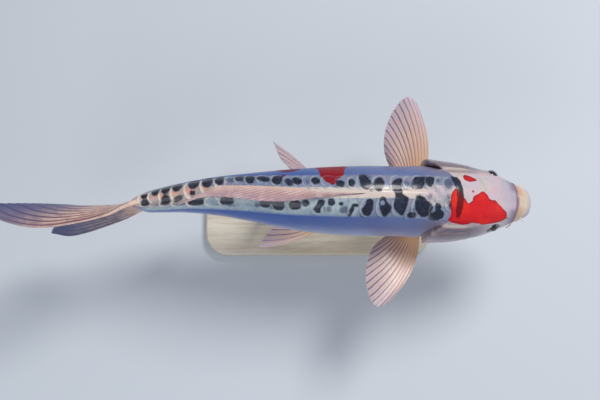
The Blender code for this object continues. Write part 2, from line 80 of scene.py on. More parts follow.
# %% Sections of the body
SNOUT_X = 0.2955
AXIS_Y = -0.0031
AXIS_HEIGHT = 0.1650
BODY_END = 0.4610
BACK_POWER = 0.92
BELLY_POWER = 0.84
SECTIONS = np.array((
    (0.0000, 0.0035, -0.0060, -0.0135, -0.0100, -0.0020),
    (0.0032, 0.0126, 0.0026, -0.0208, -0.0098, -0.0020),
    (0.0130, 0.0190, 0.0112, -0.0278, -0.0095, -0.0020),
    (0.0270, 0.0260, 0.0204, -0.0338, -0.0090, -0.0019),
    (0.0450, 0.0335, 0.0296, -0.0396, -0.0085, -0.0018),
    (0.0680, 0.0398, 0.0384, -0.0454, -0.0080, -0.0018),
    (0.0920, 0.0420, 0.0452, -0.0515, -0.0080, -0.0018),
    (0.1180, 0.0398, 0.0520, -0.0567, -0.0060, -0.0016),
    (0.1480, 0.0381, 0.0575, -0.0600, -0.0045, -0.0011),
    (0.1850, 0.0381, 0.0610, -0.0622, -0.0030, -0.0010),
    (0.2280, 0.0362, 0.0595, -0.0612, -0.0020, -0.0006),
    (0.2720, 0.0320, 0.0545, -0.0570, -0.0015, 0.0008),
    (0.3140, 0.0256, 0.0472, -0.0502, -0.0010, 0.0032),
    (0.3520, 0.0203, 0.0398, -0.0424, 0.0000, 0.0043),
    (0.3880, 0.0156, 0.0335, -0.0350, 0.0000, 0.0026),
    (0.4220, 0.0116, 0.0288, -0.0294, 0.0000, -0.0015),
    (0.4460, 0.0076, 0.0272, -0.0272, 0.0000, -0.0050),
    (0.4560, 0.0046, 0.0205, -0.0205, 0.0000, -0.0058),
    (0.4610, 0.0016, 0.0100, -0.0100, 0.0000, -0.0062),
))
print("sections:", len(SECTIONS), "over", round(BODY_END * 1000), "mm of flesh")

# %% [markdown]
# Straight lines between the rows would leave kinks, so a smooth curve runs through them. It is
# worked out finely once, and then looked up.

# %% A smooth curve through the sections
def smooth_along(knots, share):
    """Values at shares from 0 to 1 of a smooth curve through evenly counted knots."""
    knots = np.asarray(knots, float)
    place = np.clip(np.asarray(share, float), 0, 1) * (len(knots) - 1)
    index = np.minimum(place.astype(int), len(knots) - 2)
    step = place - index
    if knots.ndim > 1:
        step = step[..., None]
    start, end = knots[index], knots[index + 1]
    slope_in = (end - knots[np.maximum(index - 1, 0)]) / 2
    slope_out = (knots[np.minimum(index + 2, len(knots) - 1)] - start) / 2
    bend = 3 * (end - start) - 2 * slope_in - slope_out
    twist = 2 * (start - end) + slope_in + slope_out
    return start + slope_in * step + bend * step ** 2 + twist * step ** 3


SECTION_TABLE = smooth_along(SECTIONS, np.linspace(0, 1, 4001))


def section_at(behind):
    """Half width, back, belly, widest height and drift at distances behind the snout."""
    return [np.interp(behind, SECTION_TABLE[:, 0], SECTION_TABLE[:, k]) for k in range(1, 6)]


print("half width at the dorsal fin:", round(float(section_at(0.185)[0]) * 1000, 1), "mm")

# %% [markdown]
# Each section is an oval a little fuller than an ellipse, which a power of its sine and cosine
# gives. Above and below its widest point it has its own height. The way straight out of the
# skin follows from the slopes along and round the body.

# %% The body's surface
def signed_power(value, power):
    return np.sign(value) * np.abs(value) ** power


def body_surface(behind, turn):
    """Points of the body. The turn is 0 at the fish's left side and a quarter at the back."""
    behind, turn = np.broadcast_arrays(behind, turn)
    half_width, back, belly, widest, drift = section_at(behind)
    across, up = np.cos(turn), np.sin(turn)
    power = np.where(up >= 0, BACK_POWER, BELLY_POWER)
    reach = np.where(up >= 0, back - widest, widest - belly)
    side = signed_power(across, power) * half_width
    height = signed_power(up, power) * reach
    return np.stack([SNOUT_X - behind, AXIS_Y + drift + side, AXIS_HEIGHT + widest + height], -1)


def unit(vectors):
    return vectors / np.maximum(np.linalg.norm(vectors, axis=-1, keepdims=True), 1e-12)


def body_normal(behind, turn):
    """Directions straight out of the body."""
    step, small_turn = 0.0004, 0.012
    along = body_surface(behind + step, turn) - body_surface(behind - step, turn)
    around = body_surface(behind, turn + small_turn) - body_surface(behind, turn - small_turn)
    return unit(np.cross(around, -along))


print("top of the back:", [round(float(x), 4) for x in body_surface(0.185, math.pi / 2)])

# %% [markdown]
# ## A tape measure for the skin
#
# Markings and scales are placed by tape: millimetres behind the snout, and millimetres round
# the body from the ridge, plus on the fish's left. A table of lengths round the body turns
# such a place into an angle and back, so a spot keeps its size wherever the body is thick or
# thin.

# %% The tape
MM = 0.001
STATIONS = np.linspace(0, BODY_END, 240)
FALLS = np.linspace(0, math.pi, 181)        # angles down from the ridge
HALVINGS = 22                               # steps that close in on an angle


def lean_of(turn):
    """The angle away from the ridge, less than nought on the fish's left."""
    return np.mod(turn - math.pi / 2 + math.pi, 2 * math.pi) - math.pi


def measure_rounds():
    """Length round the body from the ridge, for every station and fall."""
    points = body_surface(STATIONS[:, None], math.pi / 2 - FALLS[None, :])
    steps = np.linalg.norm(np.diff(points, axis=1), axis=-1)
    return np.concatenate([np.zeros((len(STATIONS), 1)), np.cumsum(steps, axis=1)], axis=1)


ROUNDS = measure_rounds()


def round_at(behind, fall):
    """Length from the ridge down to an angle."""
    row = np.clip(behind / BODY_END, 0, 1) * (len(STATIONS) - 1)
    column = np.clip(fall / math.pi, 0, 1) * (len(FALLS) - 1)
    low_row = np.minimum(row.astype(int), len(STATIONS) - 2)
    above = np.minimum(column.astype(int), len(FALLS) - 2)
    row_step, column_step = row - low_row, column - above
    near = ROUNDS[low_row, above] * (1 - column_step) + ROUNDS[low_row, above + 1] * column_step
    far = ROUNDS[low_row + 1, above] * (1 - column_step) + ROUNDS[low_row + 1, above + 1] * column_step
    return near * (1 - row_step) + far * row_step


def tape_of(behind, turn):
    """Tape places, in millimetres, of points given by distance and turn."""
    lean = lean_of(turn)
    return behind / MM, -np.sign(lean) * round_at(behind, np.abs(lean)) / MM


def turn_of(behind, round_mm):
    """The turn of points whose tape place is known."""
    wanted = np.abs(round_mm) * MM
    low, high = np.zeros_like(wanted), np.full_like(wanted, math.pi)
    for _ in range(HALVINGS):
        middle = (low + high) / 2
        short = round_at(behind, middle) < wanted
        low, high = np.where(short, middle, low), np.where(short, high, middle)
    return math.pi / 2 - np.sign(round_mm) * low


print("from ridge to belly at the dorsal fin:", round(float(round_at(0.185, math.pi)) / MM, 1), "mm")

# %% [markdown]
# ## Small helpers
#
# Everything new starts as one of Blender's primitives, is moved into shape by its vertices
# or its edit-mode operators, and ends with its modifiers applied and its object at the
# origin. These helpers hold those few habits.

# %% Helpers for meshes
def only(item):
    """Select one object and nothing else."""
    for other in bpy.context.view_layer.objects:
        other.select_set(False)
    item.select_set(True)
    bpy.context.view_layer.objects.active = item


def new_piece(name):
    """Name the primitive that was just added, with its place put into its mesh."""
    piece = bpy.context.active_object
    piece.name = piece.data.name = name
    piece.data.transform(piece.matrix_world)
    piece.matrix_world = Matrix.Identity(4)
    return piece


def read_points(mesh):
    points = np.empty(len(mesh.vertices) * 3)
    mesh.vertices.foreach_get("co", points)
    return points.reshape(-1, 3)


def write_points(mesh, points):
    mesh.vertices.foreach_set("co", np.ascontiguousarray(points, np.float64).ravel())
    mesh.update()


def write_values(mesh, name, values):
    """Keep one number for each vertex, for the paint to read."""
    layer = mesh.attributes.new(name, "FLOAT", "POINT")
    layer.data.foreach_set("value", np.asarray(values, np.float32).ravel())


def apply_all(piece):
    only(piece)
    for modifier in list(piece.modifiers):
        bpy.ops.object.modifier_apply(modifier=modifier.name)


def smooth(piece, sharp=None):
    """Shade smooth, all over or up to a sharp angle."""
    only(piece)
    if sharp is None:
        bpy.ops.object.shade_smooth()
    else:
        bpy.ops.object.shade_smooth_by_angle(angle=math.radians(sharp))


def settle(piece, nodes, material):
    """Give a finished piece its material, hang it on the frame's root body and hide the solids it replaces.
    """
    piece.data.materials.clear()
    piece.data.materials.append(material)
    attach(piece, "root")
    if nodes:
        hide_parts(*nodes)
    print(piece.name, len(piece.data.polygons), "faces")


print("pieces start as primitives and end at the origin")

# %% [markdown]
# Two small curves shape nearly everything that follows: a soft step, and a bell that swells
# and dies away again.

# %% A soft step and a bell
def ramp(value, low, high):
    """0 below low, 1 above high, and a soft step between."""
    share = np.clip((np.asarray(value, float) - low) / (high - low), 0, 1)
    return share * share * (3 - 2 * share)


def bell(value, middle, width):
    return np.exp(-((np.asarray(value, float) - middle) / width) ** 2)


print("a quarter up the step:", float(ramp(0.25, 0, 1)))
print("one width off the bell:", round(float(bell(1, 0, 1)), 3))

# %% [markdown]
# ## The markings
#
# This koi has a pinkish white head with a red patch, a black crescent on the nape, a red
# wedge on the left of the back and blue-black spots on its scales. Paint could be brushed on
# a flat image of the skin, but that has a fixed fineness. Instead each patch is a simple
# outline in tape places, and every vertex learns its distance to the nearest outline. The
# paint then draws a crisp edge wherever that distance is nought, on skin and scales alike.

# %% Outlines of the red patches, in tape places
HEAD_PATCH = (
    (60, 5.5), (57, 6), (53, 2), (50.5, -2), (47, -3.5), (44, -3), (41, -6), (37, -9), (33, -13),
    (30, -15), (29.5, -18), (29, -22), (32, -26), (38, -29), (46, -31), (57, -33.5), (62, -32),
    (70, -31), (74, -33), (80, -34), (88, -33), (94, -31.5), (98, -28.5), (95, -25), (94, -20),
    (95, -14), (95.5, -8), (95, -3), (94, 1), (92, 5), (89, 8), (85, 6), (81, -1), (78, -4),
    (76, -8), (74, -8), (70.5, -5), (70, -2), (67, 1), (63, 3),
)
CHEEK_PATCH = (
    (80, 24), (78, 26.5), (72, 24.5), (66, 21.5), (63.5, 18.8), (67, 17.5), (73, 16.5),
    (78, 18.5), (79.5, 21.5),
)
FLANK_WEDGE = (
    (240, 44), (242, 51), (237, 60), (231, 58), (227, 67), (220, 70), (215, 62), (209, 56),
    (205, 47), (208, 40), (210, 28), (210, 24), (213, 19), (218, 14), (219, 10), (221, 8),
    (224, 7.5), (226, 10), (230, 11.5), (233, 16), (236, 20), (236, 25), (238, 36),
)
FLANK_STRIPE = (
    (285, 40), (280, 34), (273, 29), (264, 31), (259, 38), (256, 46), (262, 53), (269, 49),
    (276, 52), (283, 47),
)
RED_DOTS = ((69.5, 5.2, 1.3), (275.5, 21, 2.8))


def outline_distance(along, round_mm, outline):
    """Signed distance to a closed outline, in millimetres, less than nought inside."""
    corners = np.array(outline, float)
    best = np.full(along.shape, 1e9)
    inside = np.zeros(along.shape, bool)
    for start, end in zip(corners, np.roll(corners, -1, axis=0)):
        edge = end - start
        share = ((along - start[0]) * edge[0] + (round_mm - start[1]) * edge[1]) / (edge @ edge)
        share = np.clip(share, 0, 1)
        gap = np.hypot(along - start[0] - share * edge[0], round_mm - start[1] - share * edge[1])
        best = np.minimum(best, gap)
        crosses = (start[1] > round_mm) != (end[1] > round_mm)
        rise = np.where(abs(edge[1]) > 1e-9, edge[1], 1e-9)
        inside ^= crosses & (along < start[0] + (round_mm - start[1]) / rise * edge[0])
    return np.where(inside, -best, best)


def red_distance(along, round_mm):
    """How far each tape place is from the red."""
    gaps = [outline_distance(along, round_mm, outline)
            for outline in (HEAD_PATCH, CHEEK_PATCH, FLANK_WEDGE, FLANK_STRIPE)]
    gaps += [np.hypot(along - x, round_mm - y) - size for x, y, size in RED_DOTS]
    return np.minimum.reduce(gaps)


print("the red of the head ends", max(place[0] for place in HEAD_PATCH), "mm behind the snout")

# %% [markdown]
# ## Two rows of mirror scales
#
# A mirror carp is bare but for a few big scales, here a row on each side of the ridge from
# the nape to the tail. Each entry is one scale: where its free rear edge lies behind the
# snout, its middle round the body and its half width. Each scale slips under the one ahead
# of it.

# %% The two rows
LEFT_ROW = (
    (104, 13, 9), (113, 14, 9), (124, 14, 10), (138, 13, 11), (148, 12, 10), (162, 11, 12),
    (181, 11, 11), (198, 12, 12), (208, 11, 9), (221, 12, 9), (236, 13, 9), (247, 13, 9),
    (256, 13, 9), (267, 13, 9), (277, 13, 9), (290, 14, 10), (306, 15, 9), (319, 15, 10),
    (330, 15, 10), (341, 15, 10), (352, 12, 12), (367.5, 8, 13), (385, 4.5, 14),
    (400, 2.5, 13), (413, 1, 11), (425, 0, 9), (436, -1, 7),
)
RIGHT_ROW = (
    (102, -11, 8), (120, -20, 13), (139, -17, 14), (145, -27, 6), (160, -16, 13),
    (177, -17, 13), (194, -18, 13), (207, -19, 11), (219, -18, 10), (231, -17, 10),
    (247, -17, 11), (257, -16, 9), (272, -16, 10), (288, -16, 10), (301, -15, 9), (309, -15, 8),
    (318, -15, 8), (328, -15, 8), (347, -14, 9), (363, -14, 8), (383, -14, 8), (400, -13, 7),
    (413, -11, 7), (424, -10, 6), (434, -9, 5),
)
print(len(LEFT_ROW) + len(RIGHT_ROW), "large scales")

# %% [markdown]
# ## Black, grey and peach
#
# The black lies on the scales in blots. The large ones have an outline each. The others are
# tilted ovals with blunt ends, so a few numbers place each one: its middle, its half length
# and half width, and its tilt in degrees. Fainter grey blots and a few peach ones on the stem
# are given in the same way.

# %% Blots on the scales
NAPE_CRESCENT = (
    (93, 23), (87, 22), (84, 18), (82, 12), (81, 5), (80.5, -2), (81, -8), (82, -14), (83, -20),
    (85, -24.5), (88, -25), (88, -20), (88.5, -14), (87.5, -8), (87, -2), (87.5, 4), (88.5, 9),
    (90, 14), (92, 19),
)
INK_PATCHES = (
    ((137.5, 8), (137, 15), (134, 19), (128, 20.5), (121, 21.5), (113.5, 21), (112.5, 17), (114.5, 12.5),
     (117, 7.5), (120, 8.5), (122.5, 13), (125, 9.5), (126.5, 5.5), (132, 4.5), (136, 5.5)),
    ((134.5, -10), (134, -16), (131, -22), (126, -26.5), (121.5, -26.5), (118, -21), (114.8, -14.5),
     (116.5, -11), (120, -8), (123, -5.5), (126, -3.2), (131, -2.6), (133.5, -5)),
    ((111.5, -9.8), (108, -9.8), (105.8, -13), (106, -17), (102.8, -19), (102, -21.5), (104, -26),
     (108, -29.5), (113, -31), (117.5, -29.5), (118.5, -25), (115.5, -21.5), (111.5, -19), (111.8, -14)),
    ((149.5, 18), (154, 16), (158, 12.5), (159.5, 8), (159, 3), (156, -0.5), (155.5, -4), (156.5, -8),
     (157, -12), (156.5, -17), (153, -22), (149.5, -26), (147, -26), (145.5, -21), (143.5, -15),
     (141.5, -9), (142, -5.5), (145, -3.5), (148.5, -1.5), (149, 3), (149.3, 9), (147.8, 14.5)),
    ((173, 18.5), (177, 15), (179, 9), (178, 4), (174.5, 0.8), (171, 1), (169.5, 5), (167.5, 9),
     (168, 13), (170, 17)),
    ((194.5, 21.5), (190.5, 23.3), (186.8, 21.5), (185.5, 16.5), (182.5, 14), (181.5, 10), (183, 5),
     (186, 2.5), (190, 4), (192.5, 7), (193.5, 12), (195, 17)),
    ((186.5, -9), (183, -7.2), (180, -8.5), (179.3, -13), (180, -19), (181.5, -24), (184, -28.5),
     (188, -27.5), (191, -22), (191.5, -18.5), (189, -15.5), (187, -12)),
    ((173.5, -9), (171.5, -6.5), (168.5, -5), (166.3, -6), (165.8, -10), (162, -13), (159.5, -16),
     (160.5, -20), (163, -24), (165.5, -29), (168.5, -28.5), (169.5, -24), (171.5, -19), (173, -14)),
    ((241.5, -22), (243, -19), (240, -14), (238, -9.5), (234, -8), (231.5, -9), (231.5, -13), (234, -16),
     (236, -19), (236.5, -23.5), (239.5, -24.5)),
)
INK_BLOTS = (
    (202.3, 10.5, 3.2, 4.2, 0), (214.8, 9.4, 4.6, 3.8, 0), (241, 13, 4.6, 4.0, 40),
    (261, 12.5, 5.4, 4.2, 25), (269.3, 11, 4.6, 3.0, 50), (282, 14.5, 5.2, 6.8, 20),
    (297.5, 15.6, 6.6, 4.0, 10), (312, 15, 4.6, 7.2, 0), (323.5, 17, 4.6, 5.2, 0),
    (345.5, 15.6, 5.0, 8.8, 0), (359, 14.2, 5.4, 10.2, 0), (374, 13.4, 6.0, 9.8, 0),
    (392.5, 11.6, 5.6, 9.4, 0), (405, 10.0, 5.0, 8.4, 0), (416, 7.4, 4.4, 6.6, 0), (428, 3.0, 3.4, 3.4, 0),
    (137.3, -25, 4.6, 3.8, 0), (202.5, -21, 7.0, 1.9, -74), (199, -14.5, 2.6, 1.7, 0),
    (214, -12.6, 2.0, 1.7, 0), (224, -10.8, 3.6, 3.5, 0), (252, -12.4, 3.9, 3.2, 0),
    (263, -14.6, 6.2, 5.8, 0), (280.5, -15.4, 6.2, 6.8, 0), (295.5, -14, 5.4, 5.6, -20),
    (288, -12.4, 2.8, 2.2, 0), (337, -11.6, 7.4, 5.8, 0), (371, -12.6, 8.8, 6.2, 0),
    (391, -6.4, 5.2, 3.0, -25), (405, -6.6, 4.8, 5.8, 0), (427.5, -6.2, 4.8, 4.2, 0),
    (374.5, -1.6, 2.8, 2.6, 0), (95.5, -11, 1.3, 3.0, 0),
)
FAINT_BLOTS = (
    (97.8, 13, 5.6, 6.6, 0), (109, 16, 2.8, 2.8, 0), (143.5, 9, 3.6, 5.4, 0), (130, -3.6, 4.0, 2.4, 0),
    (98, -5, 2.6, 4.4, 0), (249.5, 12, 2.0, 2.8, 0), (181.6, 2.8, 1.9, 1.7, 0), (344, -18, 3.6, 2.0, 0),
    (387, -15, 6.0, 2.2, 0), (190, -27, 4.0, 3.4, 0), (210, -20, 5.0, 5.0, 0), (228, -19, 4.0, 4.0, 0),
    (333, -19, 6.0, 2.4, 0), (412, -11, 4.0, 2.0, 0), (118, -3, 1.6, 3.0, 20), (136, -19, 3.4, 2.4, 0),
    (184, 19, 3.0, 3.4, 0), (164, -21, 4.0, 5.0, 0), (276, 9.5, 2.2, 2.4, 0), (286, -20, 4.0, 2.6, 0),
    (304, -16, 3.6, 4.0, 0), (320, 12, 3.0, 3.0, 0), (333, 14, 3.4, 4.6, 0),
)
PALE_HOLE = (169.6, -11.3, 2.9, 2.9, 0)           # an unpainted spot within a black scale
PEACH_BLOTS = (
    (379, 0.6, 6.6, 4.6, 0), (362, 3, 3.6, 3.4, 0), (394.5, 0, 4.8, 3.4, 0),
    (410.5, -0.6, 5.0, 3.4, 0), (419, -1.4, 3.0, 2.4, 0),
)
print(len(INK_PATCHES) + len(INK_BLOTS), "black blots and", len(FAINT_BLOTS), "grey ones")

# %% [markdown]
# A blot's distance is measured like an outline's. It needn't be exact, only nought on the edge
# and rising evenly near it.

# %% Distances to the blots
BLUNTNESS = 2.4                      # 2 is a plain oval, and more is squarer


def blot_distance(along, round_mm, blots):
    """Distance in millimetres to the nearest of these blots, less than nought inside."""
    nearest = np.full(np.shape(along), 99.0)
    for middle, height, half_length, half_width, tilt in blots:
        turn = math.radians(tilt)
        x = (along - middle) * math.cos(turn) + (round_mm - height) * math.sin(turn)
        y = (round_mm - height) * math.cos(turn) - (along - middle) * math.sin(turn)
        oval = np.abs(x / half_length) ** BLUNTNESS + np.abs(y / half_width) ** BLUNTNESS
        oval = oval ** (1 / BLUNTNESS)
        nearest = np.minimum(nearest, (oval - 1) * min(half_length, half_width))
    return nearest


def ink_distance(along, round_mm):
    """How far each tape place is from black: the blots and the nape's crescent."""
    blots = np.minimum(blot_distance(along, round_mm, INK_BLOTS),
                       outline_distance(along, round_mm, NAPE_CRESCENT))
    for outline in INK_PATCHES:
        blots = np.minimum(blots, outline_distance(along, round_mm, outline))
    return np.maximum(blots, -blot_distance(along, round_mm, (PALE_HOLE,)))


print("a peach blot at its middle:", float(blot_distance(379, 0.6, PEACH_BLOTS)), "mm")

# %% [markdown]
# ## White, bare and scaly skin
#
# Two more numbers tell the paint where the head's white gives way to the blue-grey flank, and
# where the bands of scales run. All these numbers are then kept on the vertices of a piece.

# %% What every vertex learns
# the head ends at these distances behind the snout, round the body from ridge to belly
GILL_EDGE = (0.0790, 0.0850, 0.1000, 0.1150, 0.1190, 0.1190, 0.1080, 0.0930, 0.0860)


def in_band(along, round_mm):
    """1 where scales lie, 0 on bare skin."""
    left = ramp(round_mm, 1, 5) * (1 - ramp(round_mm, 20, 25))
    right = ramp(-round_mm, 4, 8) * (1 - ramp(-round_mm, 26, 31))
    stem = (1 - ramp(np.abs(round_mm), 13, 18)) * ramp(along, 355, 372)
    return np.maximum.reduce([left, right, stem]) * ramp(along, 92, 100) * (1 - ramp(along, 424, 440))


def pale_share(along, round_mm, fall):
    """1 on the white of the head, nape and ridge, 0 on the blue-grey flank."""
    shoulder = smooth_along(GILL_EDGE, fall / math.pi) / MM
    head = 1 - ramp(along - shoulder, -1.5, 2.5)
    nape = (1 - ramp(along, 116, 128)) * (1 - ramp(np.abs(round_mm + 1), 9, 14))
    ridge = 1 - ramp(np.abs(round_mm + 0.9 * ramp(along, 150, 185)), 3.6, 8.2)
    stem = 0.85 * ramp(along, 350, 378) * (1 - ramp(np.abs(round_mm + 3), 11, 16))
    return np.maximum.reduce([head, nape, ridge, stem])


def paint_values(mesh, behind, turn):
    """Give every vertex the numbers that the paint reads."""
    along, round_mm = tape_of(behind, turn)
    learnt = {
        "red": red_distance(along, round_mm),
        "ink": ink_distance(along, round_mm),
        "faint": blot_distance(along, round_mm, FAINT_BLOTS),
        "peach": blot_distance(along, round_mm, PEACH_BLOTS),
        "pale": pale_share(along, round_mm, np.abs(lean_of(turn))),
        "band": in_band(along, round_mm),
        "along": along,
        "round": round_mm,
    }
    for name, values in learnt.items():
        write_values(mesh, name, values)


print("the right flank is bare:", float(in_band(200, -60)), "and its row isn't:", float(in_band(200, -17)))

# %% [markdown]
# ## One skin
#
# The solids are parted into lips, head, gill covers and trunk, but the real surface is one
# skin. A round ball already has what a fish needs, a pole at each end and rings between, so a
# UV sphere is drawn out: one pole becomes the snout and the other the flesh between the tail's
# rays. Its rings aren't evenly spaced. They bunch along the groove behind the lips and along
# the free edge of the gill covers, so both folds are crisp.

# %% Where the rings run
COLUMNS = 240
LIP_GROOVE = (0.0158, 0.0165, 0.0182, 0.0202, 0.0215, 0.0215, 0.0200, 0.0185, 0.0180)
SNOUT_RINGS = 26
HEAD_RINGS = 120
TRUNK_RINGS = 138
# rings of the groove behind the lips: place against its line and height, in millimetres
LIP_FOLD = (
    (-2.6, 0.25), (-1.7, 0.45), (-0.9, 0.20), (-0.3, -0.40),
    (0.2, -0.85), (0.9, -0.65), (1.7, -0.20), (2.5, 0.00),
)
# rings of the gill covers' edge: place against its line, while flat and when folded, in
# millimetres, and height as a share of the cover's own
GILL_FOLD = (
    (-3.0, -2.2, 1.00), (-2.2, -1.2, 1.00), (-1.5, -0.4, 0.97), (-0.9, 0.2, 0.86),
    (-0.4, 0.5, 0.60), (0.1, 0.3, 0.28), (0.6, -0.5, 0.00), (1.1, -1.4, -0.20),
    (1.6, -1.2, -0.36), (2.2, 0.2, -0.40), (3.0, 1.8, -0.32), (4.2, 3.6, -0.16),
    (5.6, 5.4, -0.04),
)
RINGS = SNOUT_RINGS + len(LIP_FOLD) + HEAD_RINGS + len(GILL_FOLD) + TRUNK_RINGS
print("rings:", RINGS, "columns:", COLUMNS)

# %% [markdown]
# A gill cover is a low plate that rises towards its free rear edge, with a slit behind it.
# The left one stands open a little and the right one is nearly shut. The rings follow both.

# %% Gill covers and the plan of the rings
COVER_CENTRE = 0.0935
COVER_HALF_LENGTH = 0.0245
COVER_TURN = math.radians(-3)
COVER_HALF_TURN = math.radians(43)
COVER_RAKE = 0.0090
COVER_PROUD = (0.0006, 0.0050)      # height at the front, and what the rear edge adds
COVER_LIFTED = 1.25                 # the left cover stands open a little
RIGHT_CLOSED = 0.45                 # and the right one is nearly shut


def gill_opening(fall, left):
    """How open the gill slit is, round the body."""
    opening = ramp(fall, math.radians(42), math.radians(54)) * (1 - 0.8 * ramp(fall, 2.0, 2.9))
    return opening * np.where(left, 1.0, RIGHT_CLOSED)


def cover_height(behind, fall, left):
    """Height of the gill cover above the plain body."""
    upward = (math.pi / 2 - fall - COVER_TURN) / COVER_HALF_TURN
    forward = (COVER_CENTRE - COVER_RAKE * upward - behind) / COVER_HALF_LENGTH
    lift = np.clip((1 - forward) / 2, 0, 1)
    flare = lift ** 1.5 * (1 - 0.55 * np.minimum(1, upward ** 2))
    within = 1 - ramp(np.hypot(np.maximum(forward, 0), upward), 0.90, 1.08)
    plate = (COVER_PROUD[0] + COVER_PROUD[1] * flare * np.where(left, COVER_LIFTED, 1.0)) * within
    gill = smooth_along(GILL_EDGE, fall / math.pi)
    rim = 0.0010 * gill_opening(fall, left) * ramp(behind, gill - 0.0200, gill - 0.0040)
    return plate + rim


def make_ring_plan(fall, left):
    """Place, fold height and painted shade of every ring, for columns at these falls."""
    lip = smooth_along(LIP_GROOVE, fall / math.pi)
    gill = smooth_along(GILL_EDGE, fall / math.pi)
    opening = gill_opening(fall, left)
    edge_height = cover_height(gill - 0.0030, fall, left)
    flat = 0 * fall
    groove = 1 - 0.75 * ramp(fall, 1.5, 2.1)
    rings = []
    for step in range(SNOUT_RINGS):
        rings.append(((lip - 0.0030) * (step / SNOUT_RINGS) ** 1.7, flat, flat))
    for place, height in LIP_FOLD:
        # painted shade in the groove behind the lips
        rings.append((lip + place * MM, groove * height * MM, groove * 0.5 * bell(place, 0.2, 0.8)))
    for step in range(1, HEAD_RINGS + 1):
        start, end = lip + 0.0026, gill - 0.0036
        place = start + (end - start) * step / (HEAD_RINGS + 1)
        rings.append((place, cover_height(place, fall, left), flat))
    for plain, folded, share in GILL_FOLD:
        place = gill + (plain + (folded - plain) * opening) * MM
        # painted shade in the gill slit under the cover's edge
        rings.append((place, share * edge_height, opening * (1 - ramp(share, -0.25, 0.35))))
    for step in range(1, TRUNK_RINGS + 1):
        start = gill + 0.0066
        place = start + (BODY_END - start) * (step / TRUNK_RINGS) ** 1.08
        rings.append((place, flat, flat))
    return [np.array(part) for part in zip(*rings)]


print("how far the slit opens, left and right:", [float(gill_opening(1.5, left)) for left in (True, False)])

# %% [markdown]
# ## The forms of the head and back
#
# The skin's finer forms are pushed in and out of the plain body, as a sculptor would with a
# thumb: the slit of the mouth between two full lips, the nostrils, the rims round the eyes,
# the crest of the back, and the shallow beds in which the scales lie. Each is a small formula
# in tape places, so it lands on both sides alike.

# %% Relief of the skin
NOSTRIL = (28.0, 24.0)               # tape place
COAT_DEPTH = 0.7                     # millimetres between the bare skin and the scales' beds
# a form's height in millimetres, its place behind the snout and length, its place round and breadth
SOFT_FORMS = (
    (0.50, 47, 14, 25, 8),           # brow
    (-0.35, 38, 18, 12, 8),          # dish of the forehead
    (-0.30, 68, 16, 15, 5),          # hollow of the skull
    (0.50, 54, 14, 74, 14),          # cheek
)


def mouth_line(behind):
    """Height of the slit between the lips: level in front and drooping to its corners."""
    return AXIS_HEIGHT - 0.0108 - 0.0060 * np.clip(behind / 0.0190, 0, 1.2) ** 1.6


def mouth_and_nostrils(along, away, rise):
    """Heights of the slit, the lips and the nostrils, and the painted shade in the slit and the nostrils'
    pits.
    """
    at_mouth = 1 - ramp(along, 15.0, 18.5)
    slit = bell(rise, 0, 0.55) * at_mouth
    lips = (bell(rise, 2.8, 2.2) + 0.8 * bell(rise, -2.4, 1.8)) * at_mouth
    nostril = np.hypot(along - NOSTRIL[0], (away - NOSTRIL[1]) * 1.3)
    flap = np.hypot(along - NOSTRIL[0] - 3.4, (away - NOSTRIL[1] - 0.3) * 1.2)
    pit = np.maximum(bell(nostril, 0, 1.1), 0.8 * bell(flap, 0, 1.2))
    rim = bell(nostril, 2.3, 0.8) + 0.7 * bell(flap, 2.2, 0.8)
    return 0.6 * lips - 1.7 * slit + 0.35 * rim - 1.3 * pit, 0.9 * np.maximum(slit, pit)


def plates_of_head(along, away):
    """Heights of the soft forms of the head, and of the creases between its bony plates."""
    height = 0
    for rise, place, length, round_place, breadth in SOFT_FORMS:
        height = height + rise * bell(along, place, length) * bell(away, round_place, breadth)
    lip_crease = bell(along, 8.6, 1.5) * (1 - ramp(away, 12, 17))
    wrinkle = bell(along, 22.5, 1.2) * ramp(away, 8, 14) * (1 - ramp(away, 22, 30))
    nape = bell(along, 90, 2.6) * (1 - ramp(away, 26, 34))
    cover_top = ramp(along, 58, 68) * (1 - ramp(along, 98, 106))
    groove, ridge = bell(away, 31.5, 1.6) * cover_top, bell(away, 36.5, 2.6) * cover_top
    plate_edge = bell(along, 74 + 0.10 * (away - 60), 1.3) * ramp(away, 36, 46) * (1 - ramp(away, 84, 94))
    under_eye = bell(away, 58 + 0.25 * (along - 44), 1.4) * ramp(along, 26, 34) * (1 - ramp(along, 62, 72))
    height -= 0.35 * lip_crease + 0.3 * wrinkle + 0.7 * nape + 0.6 * groove - 0.55 * ridge
    return height - 0.45 * plate_edge - 0.30 * under_eye


def skin_relief(behind, turn, points):
    """Heights of all the finer forms, in millimetres, and the painted shade in their hollows."""
    along, round_mm = tape_of(behind, turn)
    away = np.abs(round_mm)
    height, hollow = mouth_and_nostrils(along, away, (points[:, 2] - mouth_line(behind)) / MM)
    height += plates_of_head(along, away)
    crest = bell(round_mm, -0.5, 4.5) * ramp(along, 100, 118) * (1 - ramp(along, 172, 190))
    crest += 0.6 * bell(round_mm, 0, 4.0) * ramp(along, 352, 366) * (1 - ramp(along, 395, 430))
    girdle = bell(along, 131, 5) * ramp(away, 50, 64)
    side_line = bell(points[:, 2], AXIS_HEIGHT - 0.0035, 0.0005)
    side_line = side_line * ramp(along, 121, 127) * (1 - ramp(along, 440, 450))
    height += 0.9 * crest + 0.5 * girdle - 0.22 * side_line
    return height - COAT_DEPTH * in_band(along, round_mm), hollow


print("the mouth's corners lie", round((mouth_line(0.019) - AXIS_HEIGHT) / MM, 1), "mm from the axis")
